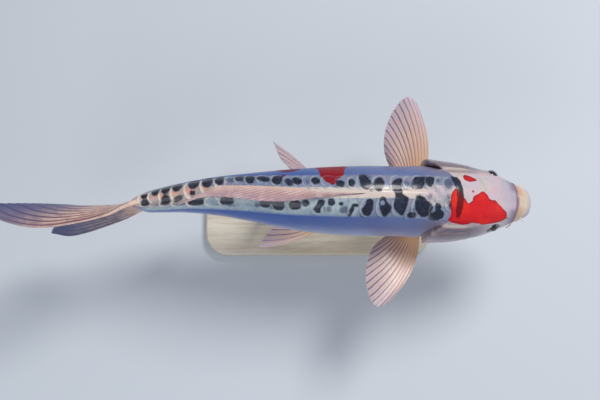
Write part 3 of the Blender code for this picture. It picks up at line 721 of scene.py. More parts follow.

# %% [markdown]
# ## Sockets for the eyes
#
# A carp's eyes look out to the sides, a little up and forward. Each sits deep: the skin sinks
# round it, with a soft rim that comes lower over its upper edge as a lid does, and its socket
# gets a painted shade.

# %% Eye sockets
EYE_CENTRE = Vector((SNOUT_X - 0.0440, AXIS_Y - 0.0018, AXIS_HEIGHT + 0.0065))
EYE_SIDE = 0.0277
EYE_RADIUS = 0.0076
EYE_BULGE = 0.80                     # depth of the eyeball along its own axis, against its width
EYE_OUTWARD = Vector((0.20, 0.96, 0.15)).normalized()


def eye_axis(side):
    """Middle of an eyeball, and the way it looks."""
    centre = EYE_CENTRE + Vector((0, side * EYE_SIDE, 0))
    return centre, Vector((EYE_OUTWARD.x, side * EYE_OUTWARD.y, EYE_OUTWARD.z))


def set_in_eyes(points):
    """Sink the sockets and raise the rims round the eyes. Returns points and the painted shade of the
    sockets.
    """
    shade = np.zeros(len(points))
    for side in (1, -1):
        centre, outward = (np.array(part) for part in eye_axis(side))
        offset = points - centre
        depth = offset @ outward
        away = np.linalg.norm(offset - depth[:, None] * outward, axis=1) / MM
        near = depth > -0.002
        upward = np.cross(np.cross(outward, (0, 0, 1)), outward)
        over = np.clip(offset @ upward / np.maximum(away * MM, 0.0005), 0, 1)
        lid = away + 2.4 * over
        lift = 0.9 * bell(lid, 8.0, 1.4) - 4.6 * (1 - ramp(lid, 4.9, 7.0))
        points = points + np.where(near, lift, 0)[:, None] * MM * outward
        aft = np.abs(offset[:, 0]) / MM
        # painted shade in the sunk socket, reaching less far above the eye and further fore and aft
        slit = away + 1.6 * over - 0.30 * aft
        shade = np.maximum(shade, np.where(near, 1 - ramp(slit, 4.4, 7.2), 0))
    return points, shade


print("eyes", round(2 * EYE_RADIUS / MM, 1), "mm across")

# %% [markdown]
# ## The swing of the tail
#
# The tail is beating, so its rays curve to the fish's right. The curve is set down before the
# skin is made, because the flesh runs out between the rays and swings with them. A ray's end
# is how far back it reaches past the root and how far above or below the axis, from the
# middle ray to the outermost. Its swing is a share of the reach, from root to end.

# %% Where the tail's rays run
TAIL_ROOT = 0.4480
TAIL_HALF_ROOT = 0.0262
TAIL_DRIFT = -0.03
TAIL_UPPER_ENDS = (
    (0.0550, 0.0010), (0.0700, 0.0190), (0.0900, 0.0370), (0.1150, 0.0540), (0.1420, 0.0680),
    (0.1560, 0.0770),
)
TAIL_LOWER_ENDS = (
    (0.0550, 0.0010), (0.0620, 0.0200), (0.0740, 0.0390), (0.0890, 0.0570), (0.1012, 0.0730),
    (0.1060, 0.0838),
)
UPPER_SWING = (0.0, 0.55, 0.86, 1.0, 0.78, 0.23)
LOWER_SWING = (0.0, 0.38, 0.63, 0.85, 0.97, 0.77)
UPPER_REACH = 0.0320
LOWER_REACH = 0.0240


def tail_start(ray):
    """How far past the root a ray of the tail begins."""
    return -0.0040 - 0.0100 * ray ** 2


def tail_ends(side, ray):
    """Where a ray ends. The side is 1 for the upper lobe and -1 for the lower."""
    upper = np.expand_dims(side > 0, -1)
    return np.where(upper, smooth_along(TAIL_UPPER_ENDS, ray), smooth_along(TAIL_LOWER_ENDS, ray))


def tail_swing(side, ray, back):
    """How far the cupped tail has swung to the right, on this ray and this far past its root."""
    start = tail_start(ray)
    reach = np.clip((back - start) / (tail_ends(side, ray)[..., 0] - start), 0, 1)
    upper = UPPER_REACH * smooth_along(UPPER_SWING, reach)
    lower = LOWER_REACH * smooth_along(LOWER_SWING, reach)
    return ray ** 1.5 * np.where(side > 0, upper, lower)


print("the highest ray is", round(TAIL_UPPER_ENDS[-1][0] / MM), "mm long, the lowest",
      round(TAIL_LOWER_ENDS[-1][0] / MM))

# %% [markdown]
# ## The ball becomes the skin
#
# Now the ball is drawn out. Each of its vertices goes to its ring and column on the body, is
# pushed out or in by the relief, and keeps its paint values. The lips are pushed forward, and
# the end of the stem is drawn thin and upright into the root of the tail fin.

# %% The skin
LIP_PUSH = 0.0018                    # the soft lips reach this far past the hard snout
STEM_END = 0.0262                    # half height of the flesh where the tail's rays begin
STEM_HEIGHT = 0.0272                 # and just ahead of them
STEM_SHORTENED = 0.72                # how much of its last length the stem gives up


def shape_ends(points, behind, lip):
    """Push the lips out, and draw the tail's end to an upright wedge between the rays."""
    plump = ramp((lip - behind) / lip, 0.05, 0.75)
    points[:, 0] += LIP_PUSH * plump
    _, back, belly, _, drift = section_at(behind)
    rise = points[:, 2] - AXIS_HEIGHT
    wanted = STEM_END + (STEM_HEIGHT - STEM_END) * ramp(behind, BODY_END, 0.446)
    share = np.where(behind > 0.446, wanted / np.maximum(np.where(rise > 0, back, -belly), 0.001), 1)
    points[:, 2] = AXIS_HEIGHT + rise * share
    past = np.maximum(0, behind - 0.443) * STEM_SHORTENED
    points[:, 0] += past
    thin = 1 - 0.93 * ramp(behind, 0.426, 0.455)
    rise = points[:, 2] - AXIS_HEIGHT
    spread = TAIL_HALF_ROOT + 0.0066 * ramp(behind - past, 0.434, TAIL_ROOT)
    ray = np.minimum(1, np.abs(rise) / spread)
    across = points[:, 1] - AXIS_Y - drift
    middle = section_at(np.minimum(behind - past, TAIL_ROOT))[-1]
    swing = tail_swing(np.sign(rise), ray, behind - past - TAIL_ROOT)
    points[:, 1] = AXIS_Y + middle + across * thin - swing
    return points


def make_skin():
    """Draw a ball out into the whole skin."""
    bpy.ops.mesh.primitive_uv_sphere_add(segments=COLUMNS, ring_count=RINGS + 1, radius=1)
    skin = new_piece("koi_skin")
    ball = read_points(skin.data)
    ring = np.rint(np.arccos(np.clip(ball[:, 2], -1, 1)) / math.pi * (RINGS + 1)).astype(int) - 1
    column = np.rint(np.arctan2(ball[:, 1], ball[:, 0]) / (2 * math.pi / COLUMNS)).astype(int) % COLUMNS
    turn = column * 2 * math.pi / COLUMNS
    columns = np.arange(COLUMNS) * 2 * math.pi / COLUMNS
    place, fold, dark = make_ring_plan(np.abs(lean_of(columns)), np.cos(columns) > 0)
    inside = np.clip(ring, 0, RINGS - 1)
    behind = place[inside, column]
    points = body_surface(behind, turn)
    normals = body_normal(np.maximum(behind, 0.0012), turn)
    height, hollow = skin_relief(behind, turn, points)
    points += normals * (fold[inside, column] + height * MM)[:, None]
    points, socket = set_in_eyes(points)
    lip = smooth_along(LIP_GROOVE, np.abs(lean_of(turn)) / math.pi)
    points = shape_ends(points, behind, lip)
    for pole, edge in ((ring < 0, ring == 0), (ring >= RINGS, ring == RINGS - 1)):
        points[pole] = points[edge].mean(axis=0)
    write_points(skin.data, points)
    paint_values(skin.data, behind, turn)
    write_values(skin.data, "lip", (lip - behind) / MM)
    # the painted shade of the slits, pits and folds
    write_values(skin.data, "deep", np.maximum(hollow, dark[inside, column]))
    # the painted shade of the eye sockets
    write_values(skin.data, "socket_shade", socket)
    write_values(skin.data, "level", (points[:, 2] - AXIS_HEIGHT) / MM)
    smooth(skin)
    return skin


skin = make_skin()
print("skin:", [round(side, 4) for side in skin.dimensions])

# %% [markdown]
# ## The scales
#
# Each mirror scale is a thin, slightly domed shield. One is modelled: a flat grid rounded to
# a disc and given its thickness. Copies are bent onto the body with their front edge sunk and
# their rear edge free, so each slips under the one ahead of it.

# %% One scale
SCALE_STEPS = 12
SCALE_THICKNESS = 0.55
FREE_EDGE = 0.42                      # millimetres that the rear edge stands above the skin
SUNK_EDGE = -1.05


def model_scale():
    """A thin disc from -1 to 1, its rear edge at +1, as points and faces."""
    bpy.ops.mesh.primitive_grid_add(x_subdivisions=SCALE_STEPS, y_subdivisions=SCALE_STEPS, size=2)
    disc = new_piece("one_scale")
    flat = read_points(disc.data)
    x, y = flat[:, 0].copy(), flat[:, 1].copy()
    flat[:, 0] = x * np.sqrt(1 - y * y / 2.3)
    flat[:, 1] = y * np.sqrt(1 - x * x / 2.3)
    write_points(disc.data, flat)
    wall = disc.modifiers.new("thickness", "SOLIDIFY")
    wall.thickness = 0.1
    wall.offset = -1
    apply_all(disc)
    points = read_points(disc.data)
    faces = [tuple(face.vertices) for face in disc.data.polygons]
    bpy.data.objects.remove(disc, do_unlink=True)
    return points, faces


def place_scale(template, edge, middle, half_length, half_width):
    """Bend one copy onto the body. Returns its points, and their distances and turns."""
    along = edge - half_length + template[:, 0] * half_length
    round_mm = middle + template[:, 1] * half_width
    behind = np.clip(along, 1, 455) * MM
    turn = turn_of(behind, round_mm)
    rear = (template[:, 0] + 1) / 2
    dome = 0.35 * (1 - np.clip(template[:, 0] ** 2 + template[:, 1] ** 2, 0, 1))
    height = SUNK_EDGE + (FREE_EDGE - SUNK_EDGE) * rear ** 0.8 + dome
    height -= 0.35 * ramp(np.abs(template[:, 1]), 0.75, 1.0)
    height -= np.where(template[:, 2] < -0.05, SCALE_THICKNESS, 0)
    points = body_surface(behind, turn) + body_normal(behind, turn) * (height * MM)[:, None]
    return points, behind, turn


one_scale, scale_faces = model_scale()
print("one scale:", len(scale_faces), "faces")

# %% [markdown]
# The rows give the large scales. Small ones fill the strips beside the dorsal fin, and a few
# lie on the nape. The copies are joined into one mesh. Every scale keeps its own patch on the
# map named OFBake, at its place along and round the body, and a second map of its own disc,
# on which the growth rings are drawn.

# %% All the scales
def scale_rows():
    """Every scale: rear edge, middle, half length, half width, all in millimetres."""
    random = np.random.default_rng(7)
    places = []
    for row in (LEFT_ROW, RIGHT_ROW):
        for index, (edge, middle, half_width) in enumerate(row):
            before = row[index - 1][0] if index else edge - 13
            half_length = max(6.0, (edge - before) * 0.5 + 3.6)
            places.append((edge, middle, half_length, half_width))
    for along in range(196, 352, 9):          # small ones on the right of the dorsal fin's root
        places.append((along + random.uniform(-1, 1), -7.6, 5.6, 4.2))
    for along in range(232, 352, 9):          # and on its left
        places.append((along + random.uniform(-1, 1), 6.4, 5.4, 3.4))
    for along, middle in ((102, 0), (111, 4), (112, -6), (121, 0)):
        places.append((along, middle, 7.0, 6.5))
    return sorted(places, key=lambda place: -place[0])


def join_scales(places):
    """All the copies as one mesh, with their paint values and their two maps."""
    count = len(one_scale)
    points, behinds, turns, all_faces = [], [], [], []
    for index, (edge, middle, half_length, half_width) in enumerate(places):
        copy, behind, turn = place_scale(one_scale, edge, middle, half_length, half_width)
        points.append(copy)
        behinds.append(behind)
        turns.append(turn)
        all_faces += [tuple(corner + index * count for corner in face) for face in scale_faces]
    mesh = bpy.data.meshes.new("koi_scales")
    mesh.from_pydata(np.concatenate(points).tolist(), [], all_faces)
    paint_values(mesh, np.concatenate(behinds), np.concatenate(turns))
    disc = np.tile(one_scale[:, :2], (len(places), 1))
    corners = np.array([loop.vertex_index for loop in mesh.loops])
    own_map = mesh.uv_layers.new(name="ScaleMap")
    own_map.data.foreach_set("uv", ((disc[corners] + 1) / 2).astype(np.float32).ravel())
    lay_bake_map(mesh, places, disc, corners, count)
    scales = bpy.data.objects.new("koi_scales", mesh)
    bpy.context.scene.collection.objects.link(scales)
    smooth(scales, 50)
    return scales


def lay_bake_map(mesh, places, disc, corners, count):
    """Lay each scale's patch at its place along and round the body, clear of its neighbours."""
    spots = np.zeros((len(corners), 2))
    owner = corners // count
    lanes = {}
    for index, (edge, middle, half_length, half_width) in enumerate(places):
        strip = 0 if middle > 6.5 else 1 if middle < -10.5 else 2
        lane = lanes.get(strip, 0)
        lanes[strip] = lane + 1
        mine = owner == index
        spot = np.array((edge / 470, 0.10 + 0.30 * strip + 0.14 * (lane % 2)))
        size = np.array((half_length / 520, half_width / 220))
        spots[mine] = spot + disc[corners[mine]] * size
    bake_map = mesh.uv_layers.new(name="OFBake")
    bake_map.data.foreach_set("uv", spots.astype(np.float32).ravel())


scales = join_scales(scale_rows())
print("scales:", len(scales.data.polygons), "faces")

# %% [markdown]
# ## Eyes
#
# A display fish has glass eyes: a dark pupil in a gold ring under a clear bulge. Each is a
# ball pressed a little flat along the way it looks, as a real carp's cornea hardly stands
# out. Its paint reads the distance from that axis, which every vertex is given.

# %% Eyeballs
def make_eye(name, side):
    bpy.ops.mesh.primitive_uv_sphere_add(segments=64, ring_count=40, radius=EYE_RADIUS)
    eye = new_piece("eyeball_" + name)
    centre, outward = eye_axis(side)
    points = read_points(eye.data)
    away = np.hypot(points[:, 0], points[:, 1]) / EYE_RADIUS
    clock = np.arctan2(points[:, 1], points[:, 0])
    front = points[:, 2] > 0
    cornea = 0.10 * bell(away, 0, 0.55) * front
    points[:, 2] = points[:, 2] * EYE_BULGE + cornea * EYE_RADIUS
    write_values(eye.data, "away", np.where(front, away, 1.2))
    write_values(eye.data, "spoke", clock)
    write_points(eye.data, points)
    turned = Vector((0, 0, 1)).rotation_difference(outward).to_matrix().to_4x4()
    eye.data.transform(Matrix.Translation(centre) @ turned)
    write_values(eye.data, "upper", (read_points(eye.data)[:, 2] - centre.z) / EYE_RADIUS)
    smooth(eye)
    return eye


eyes = {name: make_eye(name, side) for name, side in (("left", 1), ("right", -1))}
print("eyes:", sorted(eyes))

# %% [markdown]
# ## Barbels
#
# A carp feels with two pairs of soft barbels, short ones on the upper lip and longer ones at
# the corners of the mouth. Each is a curve with a round bevel that thins towards the tip,
# turned into a mesh when its bend looks right.

# %% Barbels from bent curves
SNOUT_MIDDLE = AXIS_Y - 0.0020


def make_barbel(name, side, knots, thick):
    """A feeler through a few points: behind the snout, out from the midline, above the axis."""
    line = bpy.data.curves.new(name, "CURVE")
    line.dimensions = "3D"
    line.bevel_depth = thick / 2
    line.bevel_resolution = 4
    line.use_fill_caps = True
    shares = np.linspace(0, 1, 22)
    path = smooth_along(knots, shares)
    spline = line.splines.new("POLY")
    spline.points.add(len(path) - 1)
    for point, (behind, out, up), share in zip(spline.points, path, shares):
        point.co = (SNOUT_X - behind, SNOUT_MIDDLE + side * out, AXIS_HEIGHT + up, 1)
        point.radius = (1 - 0.55 * share) * math.sqrt(max(0.0, 1 - share ** 12)) + 0.02
    curve = bpy.data.objects.new(name, line)
    bpy.context.scene.collection.objects.link(curve)
    only(curve)
    bpy.ops.object.convert(target="MESH")
    barbel = bpy.context.active_object
    barbel.name = barbel.data.name = name
    smooth(barbel)
    return barbel


FRONT_BARBEL = (
    (0.0125, 0.0135, -0.0040), (0.0105, 0.0178, -0.0035), (0.0080, 0.0205, -0.0060),
    (0.0055, 0.0222, -0.0085),
)
REAR_BARBEL = (
    (0.0185, 0.0160, -0.0150), (0.0190, 0.0215, -0.0190), (0.0205, 0.0245, -0.0260),
    (0.0225, 0.0248, -0.0325),
)
barbels = {}
for name, side in (("left", 1), ("right", -1)):
    barbels["barbel_front_" + name] = make_barbel("feeler_front_" + name, side, FRONT_BARBEL, 0.0021)
    barbels["barbel_rear_" + name] = make_barbel("feeler_rear_" + name, side, REAR_BARBEL, 0.0028)
print("barbels:", len(barbels))

# %% [markdown]
# ## Fins
#
# A fin is a fan of bony rays with skin between them. Separate rays would be true to life but
# fragile in a cast, and a flat sheet would look like paper. So each fin starts as a fine flat
# grid that is laid on the fin's curved middle surface. A Solidify modifier then gives it a
# thickness that rises along every ray, splits where the ray branches, and swells into flesh
# at the root. The grid's own map runs along and across the rays, for the paint.

# %% A rayed sheet
FIN_EDGE = 0.00055
STRIPS_PER_RAY = 10
BRANCH_FROM, BRANCH_FULL = 0.35, 0.95


def ray_ridge(ray, reach, count):
    """1 on the rays and near 0 between them. Each ray parts in two towards its end."""
    phase = ray * (count - 1)
    away = np.abs(phase - np.rint(phase))
    apart = 0.23 * ramp(reach, BRANCH_FROM, BRANCH_FULL)
    width = 0.21 - 0.07 * ramp(reach, BRANCH_FROM, BRANCH_FULL)
    return np.exp(-((away - apart) / width) ** 2)


def make_fin(name, surface, count, rows, root, flesh=0.25, relief=0.0006):
    """A thin rayed fan. surface(ray, reach) gives its middle, both from 0 to 1."""
    columns = (count - 1) * STRIPS_PER_RAY
    bpy.ops.mesh.primitive_grid_add(x_subdivisions=columns, y_subdivisions=rows, size=2)
    fin = new_piece(name)
    flat = read_points(fin.data)
    ray, reach = (flat[:, 0] + 1) / 2, (flat[:, 1] + 1) / 2
    ridge = ray_ridge(ray, reach, count)
    frayed = reach * (1 - 0.014 * (1 - ridge) * ramp(reach, 0.8, 1))
    write_points(fin.data, surface(ray, frayed))
    fleshy = np.maximum(0, 1 - reach / flesh) ** 1.5
    root = root(ray) if callable(root) else root
    thick = FIN_EDGE + (root - FIN_EDGE) * fleshy + relief * ridge * (1 - 0.75 * reach) * (1 - fleshy)
    most = thick.max()
    group = fin.vertex_groups.new(name="thickness")
    for index, share in enumerate(thick / most):
        group.add((index,), float(share), "REPLACE")
    wall = fin.modifiers.new("thickness", "SOLIDIFY")
    wall.thickness = most
    wall.offset = 0
    wall.vertex_group = "thickness"
    apply_all(fin)
    fin.vertex_groups.clear()
    fin.data.uv_layers[0].name = "FinMap"
    smooth(fin, 60)
    return fin


print("a ray, and the web beside it:", [round(float(ray_ridge(place, 0, 2)), 2) for place in (0, 0.5)])

# %% [markdown]
# ## Pectoral and pelvic fins
#
# The pectoral fins spread like wings behind the gill covers, and the pelvic fins lie under
# the belly, the left one swept back. Each is a fan that springs from a narrow root, swept
# back, drooped and rolled as one. An end below is a ray's: how far out from the root and how
# far forward of it, from the leading ray back. A shape is the root's width, how far the rays
# bow forward and how deep the fin is cupped.

# %% Paired fins
def side_fin(side, root, sweep, droop, roll):
    """A paired fin's middle, and its directions out and forward. Angles are in degrees."""
    sweep, droop, roll = (side * math.radians(angle) for angle in (sweep, -droop, roll))
    turn = Matrix.Rotation(sweep, 4, "Z") @ Matrix.Rotation(droop, 4, "X")
    outward = turn @ Vector((0, side, 0))
    forward = Matrix.Rotation(roll, 4, outward) @ (turn @ Vector((1, 0, 0)))
    drift = float(section_at(root[0])[-1])
    centre = Vector((SNOUT_X - root[0], AXIS_Y + drift + side * root[1], AXIS_HEIGHT + root[2]))
    return centre, outward, forward


def fan(centre, outward, forward, ends, root_width, bow, camber):
    """A fan of rays from a narrow root to their ends, bowed forward and gently cupped."""
    upward = forward.cross(outward)
    upward = np.array(upward if upward.z > 0 else -upward)
    centre, outward, forward = np.array(centre), np.array(outward), np.array(forward)

    def surface(ray, reach):
        out_end, forward_end = smooth_along(ends, ray).T
        root_place = root_width * (0.5 - ray)
        arc = 4 * reach * (1 - reach)
        out = out_end * reach
        ahead = root_place + (forward_end - root_place) * reach + bow * (1 - 0.7 * ray) * arc
        lift = camber * arc - camber * ray * reach
        lift = lift + 0.0012 * np.sin(ray * 11) * reach ** 2
        return centre + out[:, None] * outward + ahead[:, None] * forward + lift[:, None] * upward
    return surface


PECTORAL_ROOT = (0.1320, 0.0170, -0.0440)
PELVIC_ROOT = (0.2260, 0.0110, -0.0530)
PECTORAL_SHAPE = (0.0240, 0.0120, 0.0050)
PELVIC_SHAPE = (0.0150, 0.0070, 0.0030)
PECTORAL_ENDS = (
    (0.1040, 0.0000), (0.1110, -0.0090), (0.1070, -0.0175), (0.0945, -0.0255), (0.0800, -0.0310),
    (0.0635, -0.0340), (0.0470, -0.0325), (0.0330, -0.0265), (0.0230, -0.0190),
)
PELVIC_ENDS = (
    (0.0940, 0.0000), (0.0860, -0.0060), (0.0730, -0.0120), (0.0610, -0.0165), (0.0500, -0.0195),
    (0.0410, -0.0210),
)
PECTORAL_RAYS = 16
PELVIC_RAYS = 9
fins = {}
for name, side, *angles in (("left", 1, -5, -12, 8), ("right", -1, 16.5, -14, 8)):
    surface = fan(*side_fin(side, PECTORAL_ROOT, *angles), PECTORAL_ENDS, *PECTORAL_SHAPE)
    fins["pectoral_fin_" + name] = make_fin("pectoral_" + name, surface, PECTORAL_RAYS, 64, 0.0048, 0.35)
for name, side, *angles in (("left", 1, 43, 3, 62), ("right", -1, 69, 22, 12)):
    surface = fan(*side_fin(side, PELVIC_ROOT, *angles), PELVIC_ENDS, *PELVIC_SHAPE)
    fins["pelvic_fin_" + name] = make_fin("pelvic_" + name, surface, PELVIC_RAYS, 48, 0.0045)
print(sorted(fins))

# %% [markdown]
# ## Dorsal and anal fins
#
# The dorsal fin is folded: its rays lie back along the ridge and the whole fin has fallen to
# the fish's right. Its rays rise only a few degrees from the back. The anal fin stands under
# the tail stem.

# %% Fins of the midline
FIN_SUNK = 0.0040
DORSAL_FRONT, DORSAL_REAR = 0.1850, 0.3450
DORSAL_LEAN = math.radians(56)
DORSAL_RISE = (6, 16, 18.5, 14.3, 11, 21)
DORSAL_LENGTHS = (0.0400, 0.0470, 0.0480, 0.0470, 0.0470, 0.0480)
DORSAL_SIDE = (-2.2, -2.4, -1.8, 0.4, 1.3, 1.4, 1.3)   # millimetres its root lies off the ridge
DORSAL_RAYS = 21
ANAL_FRONT, ANAL_REAR = 0.3500, 0.3820
ANAL_RISE = (52, 46, 38, 28)
ANAL_LENGTHS = (0.0500, 0.0460, 0.0360, 0.0270)
ANAL_RAYS = 7


def dorsal_surface(ray, reach):
    rise = np.radians(smooth_along(DORSAL_RISE, ray))
    length = smooth_along(DORSAL_LENGTHS, ray)
    root_at = DORSAL_FRONT + (DORSAL_REAR - DORSAL_FRONT) * ray
    behind = root_at + length * np.cos(rise) * reach
    sunk = 0.0006 + (FIN_SUNK - 0.0012) * ramp(ray, 0, 0.3)
    height = -sunk + (length * np.sin(rise) + sunk) * reach
    lean = np.array((0, -math.sin(DORSAL_LEAN), math.cos(DORSAL_LEAN)))
    share = (behind - DORSAL_FRONT) / (DORSAL_REAR - DORSAL_FRONT)
    side = smooth_along(DORSAL_SIDE, share) * MM * (1 - reach)
    crest = body_surface(behind, np.full_like(behind, math.pi / 2))
    return crest + height[:, None] * lean + side[:, None] * np.array((0, 1, 0))


def dorsal_root(ray):
    """How thick the root is at each ray."""
    return 0.0011 + 0.0030 * ramp(ray, 0.02, 0.5)


def anal_surface(ray, reach):
    rise = np.radians(smooth_along(ANAL_RISE, ray))
    length = smooth_along(ANAL_LENGTHS, ray)
    root_at = ANAL_FRONT + (ANAL_REAR - ANAL_FRONT) * ray
    root = body_surface(root_at, np.full_like(root_at, -math.pi / 2))
    drop = -FIN_SUNK + (length * np.sin(rise) + FIN_SUNK) * reach
    return root + np.stack([-length * np.cos(rise) * reach, -0.0040 * reach ** 2, -drop], -1)


fins["dorsal_fin"] = make_fin("dorsal", dorsal_surface, DORSAL_RAYS, 40, dorsal_root, 0.5, 0.0005)
fins["anal_fin"] = make_fin("anal", anal_surface, ANAL_RAYS, 40, 0.0030)
print("fins so far:", len(fins))

# %% [markdown]
# ## The tail
#
# The tail fin is forked and cupped: its outer rays swing to the fish's right as the tail
# beats. The solids part it in two lobes, but the real fin is one web, so one sheet runs from
# the lowest ray to the highest.

# %% Tail fin
TAIL_RAYS = 19


def tail_surface(across, reach):
    """across runs from the lowest ray, 0, past the middle to the highest, 1."""
    side = np.where(across >= 0.5, 1.0, -1.0)
    drift = float(section_at(TAIL_ROOT)[-1])
    ray = np.abs(across * 2 - 1)
    ends = tail_ends(side, ray)
    root = TAIL_HALF_ROOT * ray
    away = root + (ends[:, 1] * np.minimum(1, ray * 6) - root) * reach
    away = away + 0.0080 * ray * 4 * reach * (1 - reach)
    back = tail_start(ray) + (ends[:, 0] - tail_start(ray)) * reach
    y = AXIS_Y + drift + TAIL_DRIFT * np.maximum(back, 0) - tail_swing(side, ray, back)
    return np.stack([SNOUT_X - TAIL_ROOT - back, y, AXIS_HEIGHT + side * away], -1)


tail = make_fin("tail_fin", tail_surface, TAIL_RAYS, 72, 0.0050, 0.34, 0.0008)
print("tail:", len(tail.data.polygons), "faces")

# %% [markdown]
# ## The stand's board
#
# The board is a plain piece of pale wood. A cube is given its size, its four upright edges
# are rounded with a wide bevel, and then the rims above and below with a narrow one.

# %% Board
BOARD_CORNER = 0.0280
BOARD_EASE = 0.0025


def select_edges(mesh, wanted):
    """Select in edit mode the edges for which wanted(first, second) is true."""
    bpy.ops.object.mode_set(mode="EDIT")
    bpy.ops.mesh.select_mode(type="EDGE")
    bpy.ops.mesh.select_all(action="DESELECT")
    bpy.ops.object.mode_set(mode="OBJECT")
    for edge in mesh.edges:
        first, second = (mesh.vertices[index].co for index in edge.vertices)
        edge.select = wanted(first, second)
    bpy.ops.object.mode_set(mode="EDIT")


def make_board():
    low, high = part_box("stand_base")
    bpy.ops.mesh.primitive_cube_add(size=1, location=(low + high) / 2, scale=high - low)
    board = new_piece("board")
    only(board)

    def upright(first, second):
        return abs(first.z - second.z) > 0.001

    def on_rim(first, second):
        level = abs(first.z - second.z) < 1e-6
        return level and (first.z < low.z + 1e-5 or first.z > high.z - 1e-5)

    for wanted, offset, segments in ((upright, BOARD_CORNER, 16), (on_rim, BOARD_EASE, 5)):
        select_edges(board.data, wanted)
        bpy.ops.mesh.bevel(offset=offset, segments=segments, affect="EDGES")
        bpy.ops.object.mode_set(mode="OBJECT")
    smooth(board, 35)
    return board


board = make_board()
print("board:", [round(side / MM) for side in board.dimensions], "mm")

# %% [markdown]
# ## Shader maths as plain expressions
#
# Paint is mixed in nodes, and nodes are easier to read as sums. A small class wraps a socket
# so that sums, products, powers and abs() write Math nodes.

# %% Sums that write nodes
class Wire:
    """One output socket of a paint's nodes."""

    def __init__(self, paint, socket):
        self.paint = paint
        self.socket = socket

    def maths(self, operation, first, second=None):
        """A Math node of one value or two."""
        inputs = {0: first} if second is None else {0: first, 1: second}
        return self.paint.node("Math", {"operation": operation}, inputs)

    def __add__(self, other):
        return self.maths("ADD", self, other)

    def __radd__(self, other):
        return self.maths("ADD", other, self)

    def __sub__(self, other):
        return self.maths("SUBTRACT", self, other)

    def __rsub__(self, other):
        return self.maths("SUBTRACT", other, self)

    def __mul__(self, other):
        return self.maths("MULTIPLY", self, other)

    def __rmul__(self, other):
        return self.maths("MULTIPLY", other, self)

    def __pow__(self, other):
        return self.maths("POWER", self, other)

    def __abs__(self):
        return self.maths("ABSOLUTE", self)

    def wave(self):
        """A wave between -1 and 1 along the value."""
        return self.maths("SINE", self)

    def step(self, low, high):
        """0 below low, 1 above high, a soft step between; falling where low is above high."""
        settings = {"interpolation_type": "SMOOTHSTEP"}
        if low < high:
            return self.paint.node("MapRange", settings, {0: self, 1: low, 2: high})
        return 1 - self.paint.node("MapRange", settings, {0: self, 1: high, 2: low})


print("a Wire has + - * ** and abs(), a wave and a step")

# %% [markdown]
# A paint is a material with one Principled shader. One method makes every kind of node, its
# settings first, and the others are short names for the nodes that are needed most. Colours
# are blended in Mix nodes, as a Math node would turn them grey.

# %% The paint box
class Paint:
    """A material built from expressions."""

    def __init__(self, name, **constants):
        self.material = bpy.data.materials.new(name)
        self.material.use_nodes = True
        self.tree = self.material.node_tree
        self.shader = self.tree.nodes["Principled BSDF"]
        for label, value in constants.items():
            self.shader.inputs[label.replace("_", " ")].default_value = value

    def node(self, kind, settings=None, inputs=None, output=0):
        """Any node, from its kind, its settings and the values or links of its sockets."""
        made = self.tree.nodes.new("ShaderNode" + kind)
        for label, value in (settings or {}).items():
            setattr(made, label, value)
        for label, value in (inputs or {}).items():
            self.feed(made.inputs[label], value)
        return Wire(self, made.outputs[output])

    def feed(self, socket, value):
        """Link a wire to a socket, or set the socket to a plain value."""
        if isinstance(value, Wire):
            self.tree.links.new(value.socket, socket)
        elif hasattr(value, "__len__") and len(value) == 3 and socket.type == "RGBA":
            socket.default_value = (*value, 1.0)
        else:
            socket.default_value = value

    def value(self, name):
        """A number kept on the vertices."""
        return self.node("Attribute", {"attribute_name": name}, output="Fac")

    def own_map(self, name):
        """The two coordinates of a map that the piece carries."""
        where = self.node("UVMap", {"uv_map": name})
        return [self.node("SeparateXYZ", inputs={0: where}, output=axis) for axis in (0, 1)]

    def noise(self, size, detail=2.0, rough=0.5, where=None, stretch=None):
        """Noise from 0 to 1 with features of about that size in metres."""
        where = where or self.node("TexCoord", output="Object")
        if stretch:
            where = self.node("Mapping", inputs={"Vector": where, "Scale": stretch})
        inputs = {"Vector": where, "Scale": 1 / size, "Detail": detail, "Roughness": rough}
        return self.node("TexNoise", inputs=inputs)

    def mix(self, share, first, second):
        """Colour first where share is 0, second where it is 1."""
        settings = {"data_type": "RGBA"}
        return self.node("Mix", settings, {0: share, 6: first, 7: second}, output=2)

    def layers(self, tone, *layers):
        """Lay tones over a first one. Each comes with the share that it covers."""
        for share, over in layers:
            tone = self.mix(share, tone, over)
        return tone

    def finish(self, colour, roughness=None, height=None, distance=0.0002, strength=1.0):
        """Feed the shader, and raise the surface by the height, and return the material."""
        self.feed(self.shader.inputs["Base Color"], colour)
        if roughness is not None:
            self.feed(self.shader.inputs["Roughness"], roughness)
        if height is not None:
            inputs = {"Height": height, "Distance": distance, "Strength": strength}
            self.feed(self.shader.inputs["Normal"], self.node("Bump", inputs=inputs))
        return self.material


def colour(red, green, blue):
    """A colour as seen on a screen, 0 to 255, turned into the light that nodes mix."""
    shares = (part / 255 for part in (red, green, blue))
    return tuple(s / 12.92 if s <= 0.04045 else ((s + 0.055) / 1.055) ** 2.4 for s in shares)


print("middle grey is", round(colour(128, 128, 128)[0], 3), "of the light")

# %% [markdown]
# ## The colours of the fish
#
# A koi's white is never plain: it is clouded with rose, green and lilac, and it turns blue
# where the bare flank shades off. The tones are named here once, for skin and scales alike.

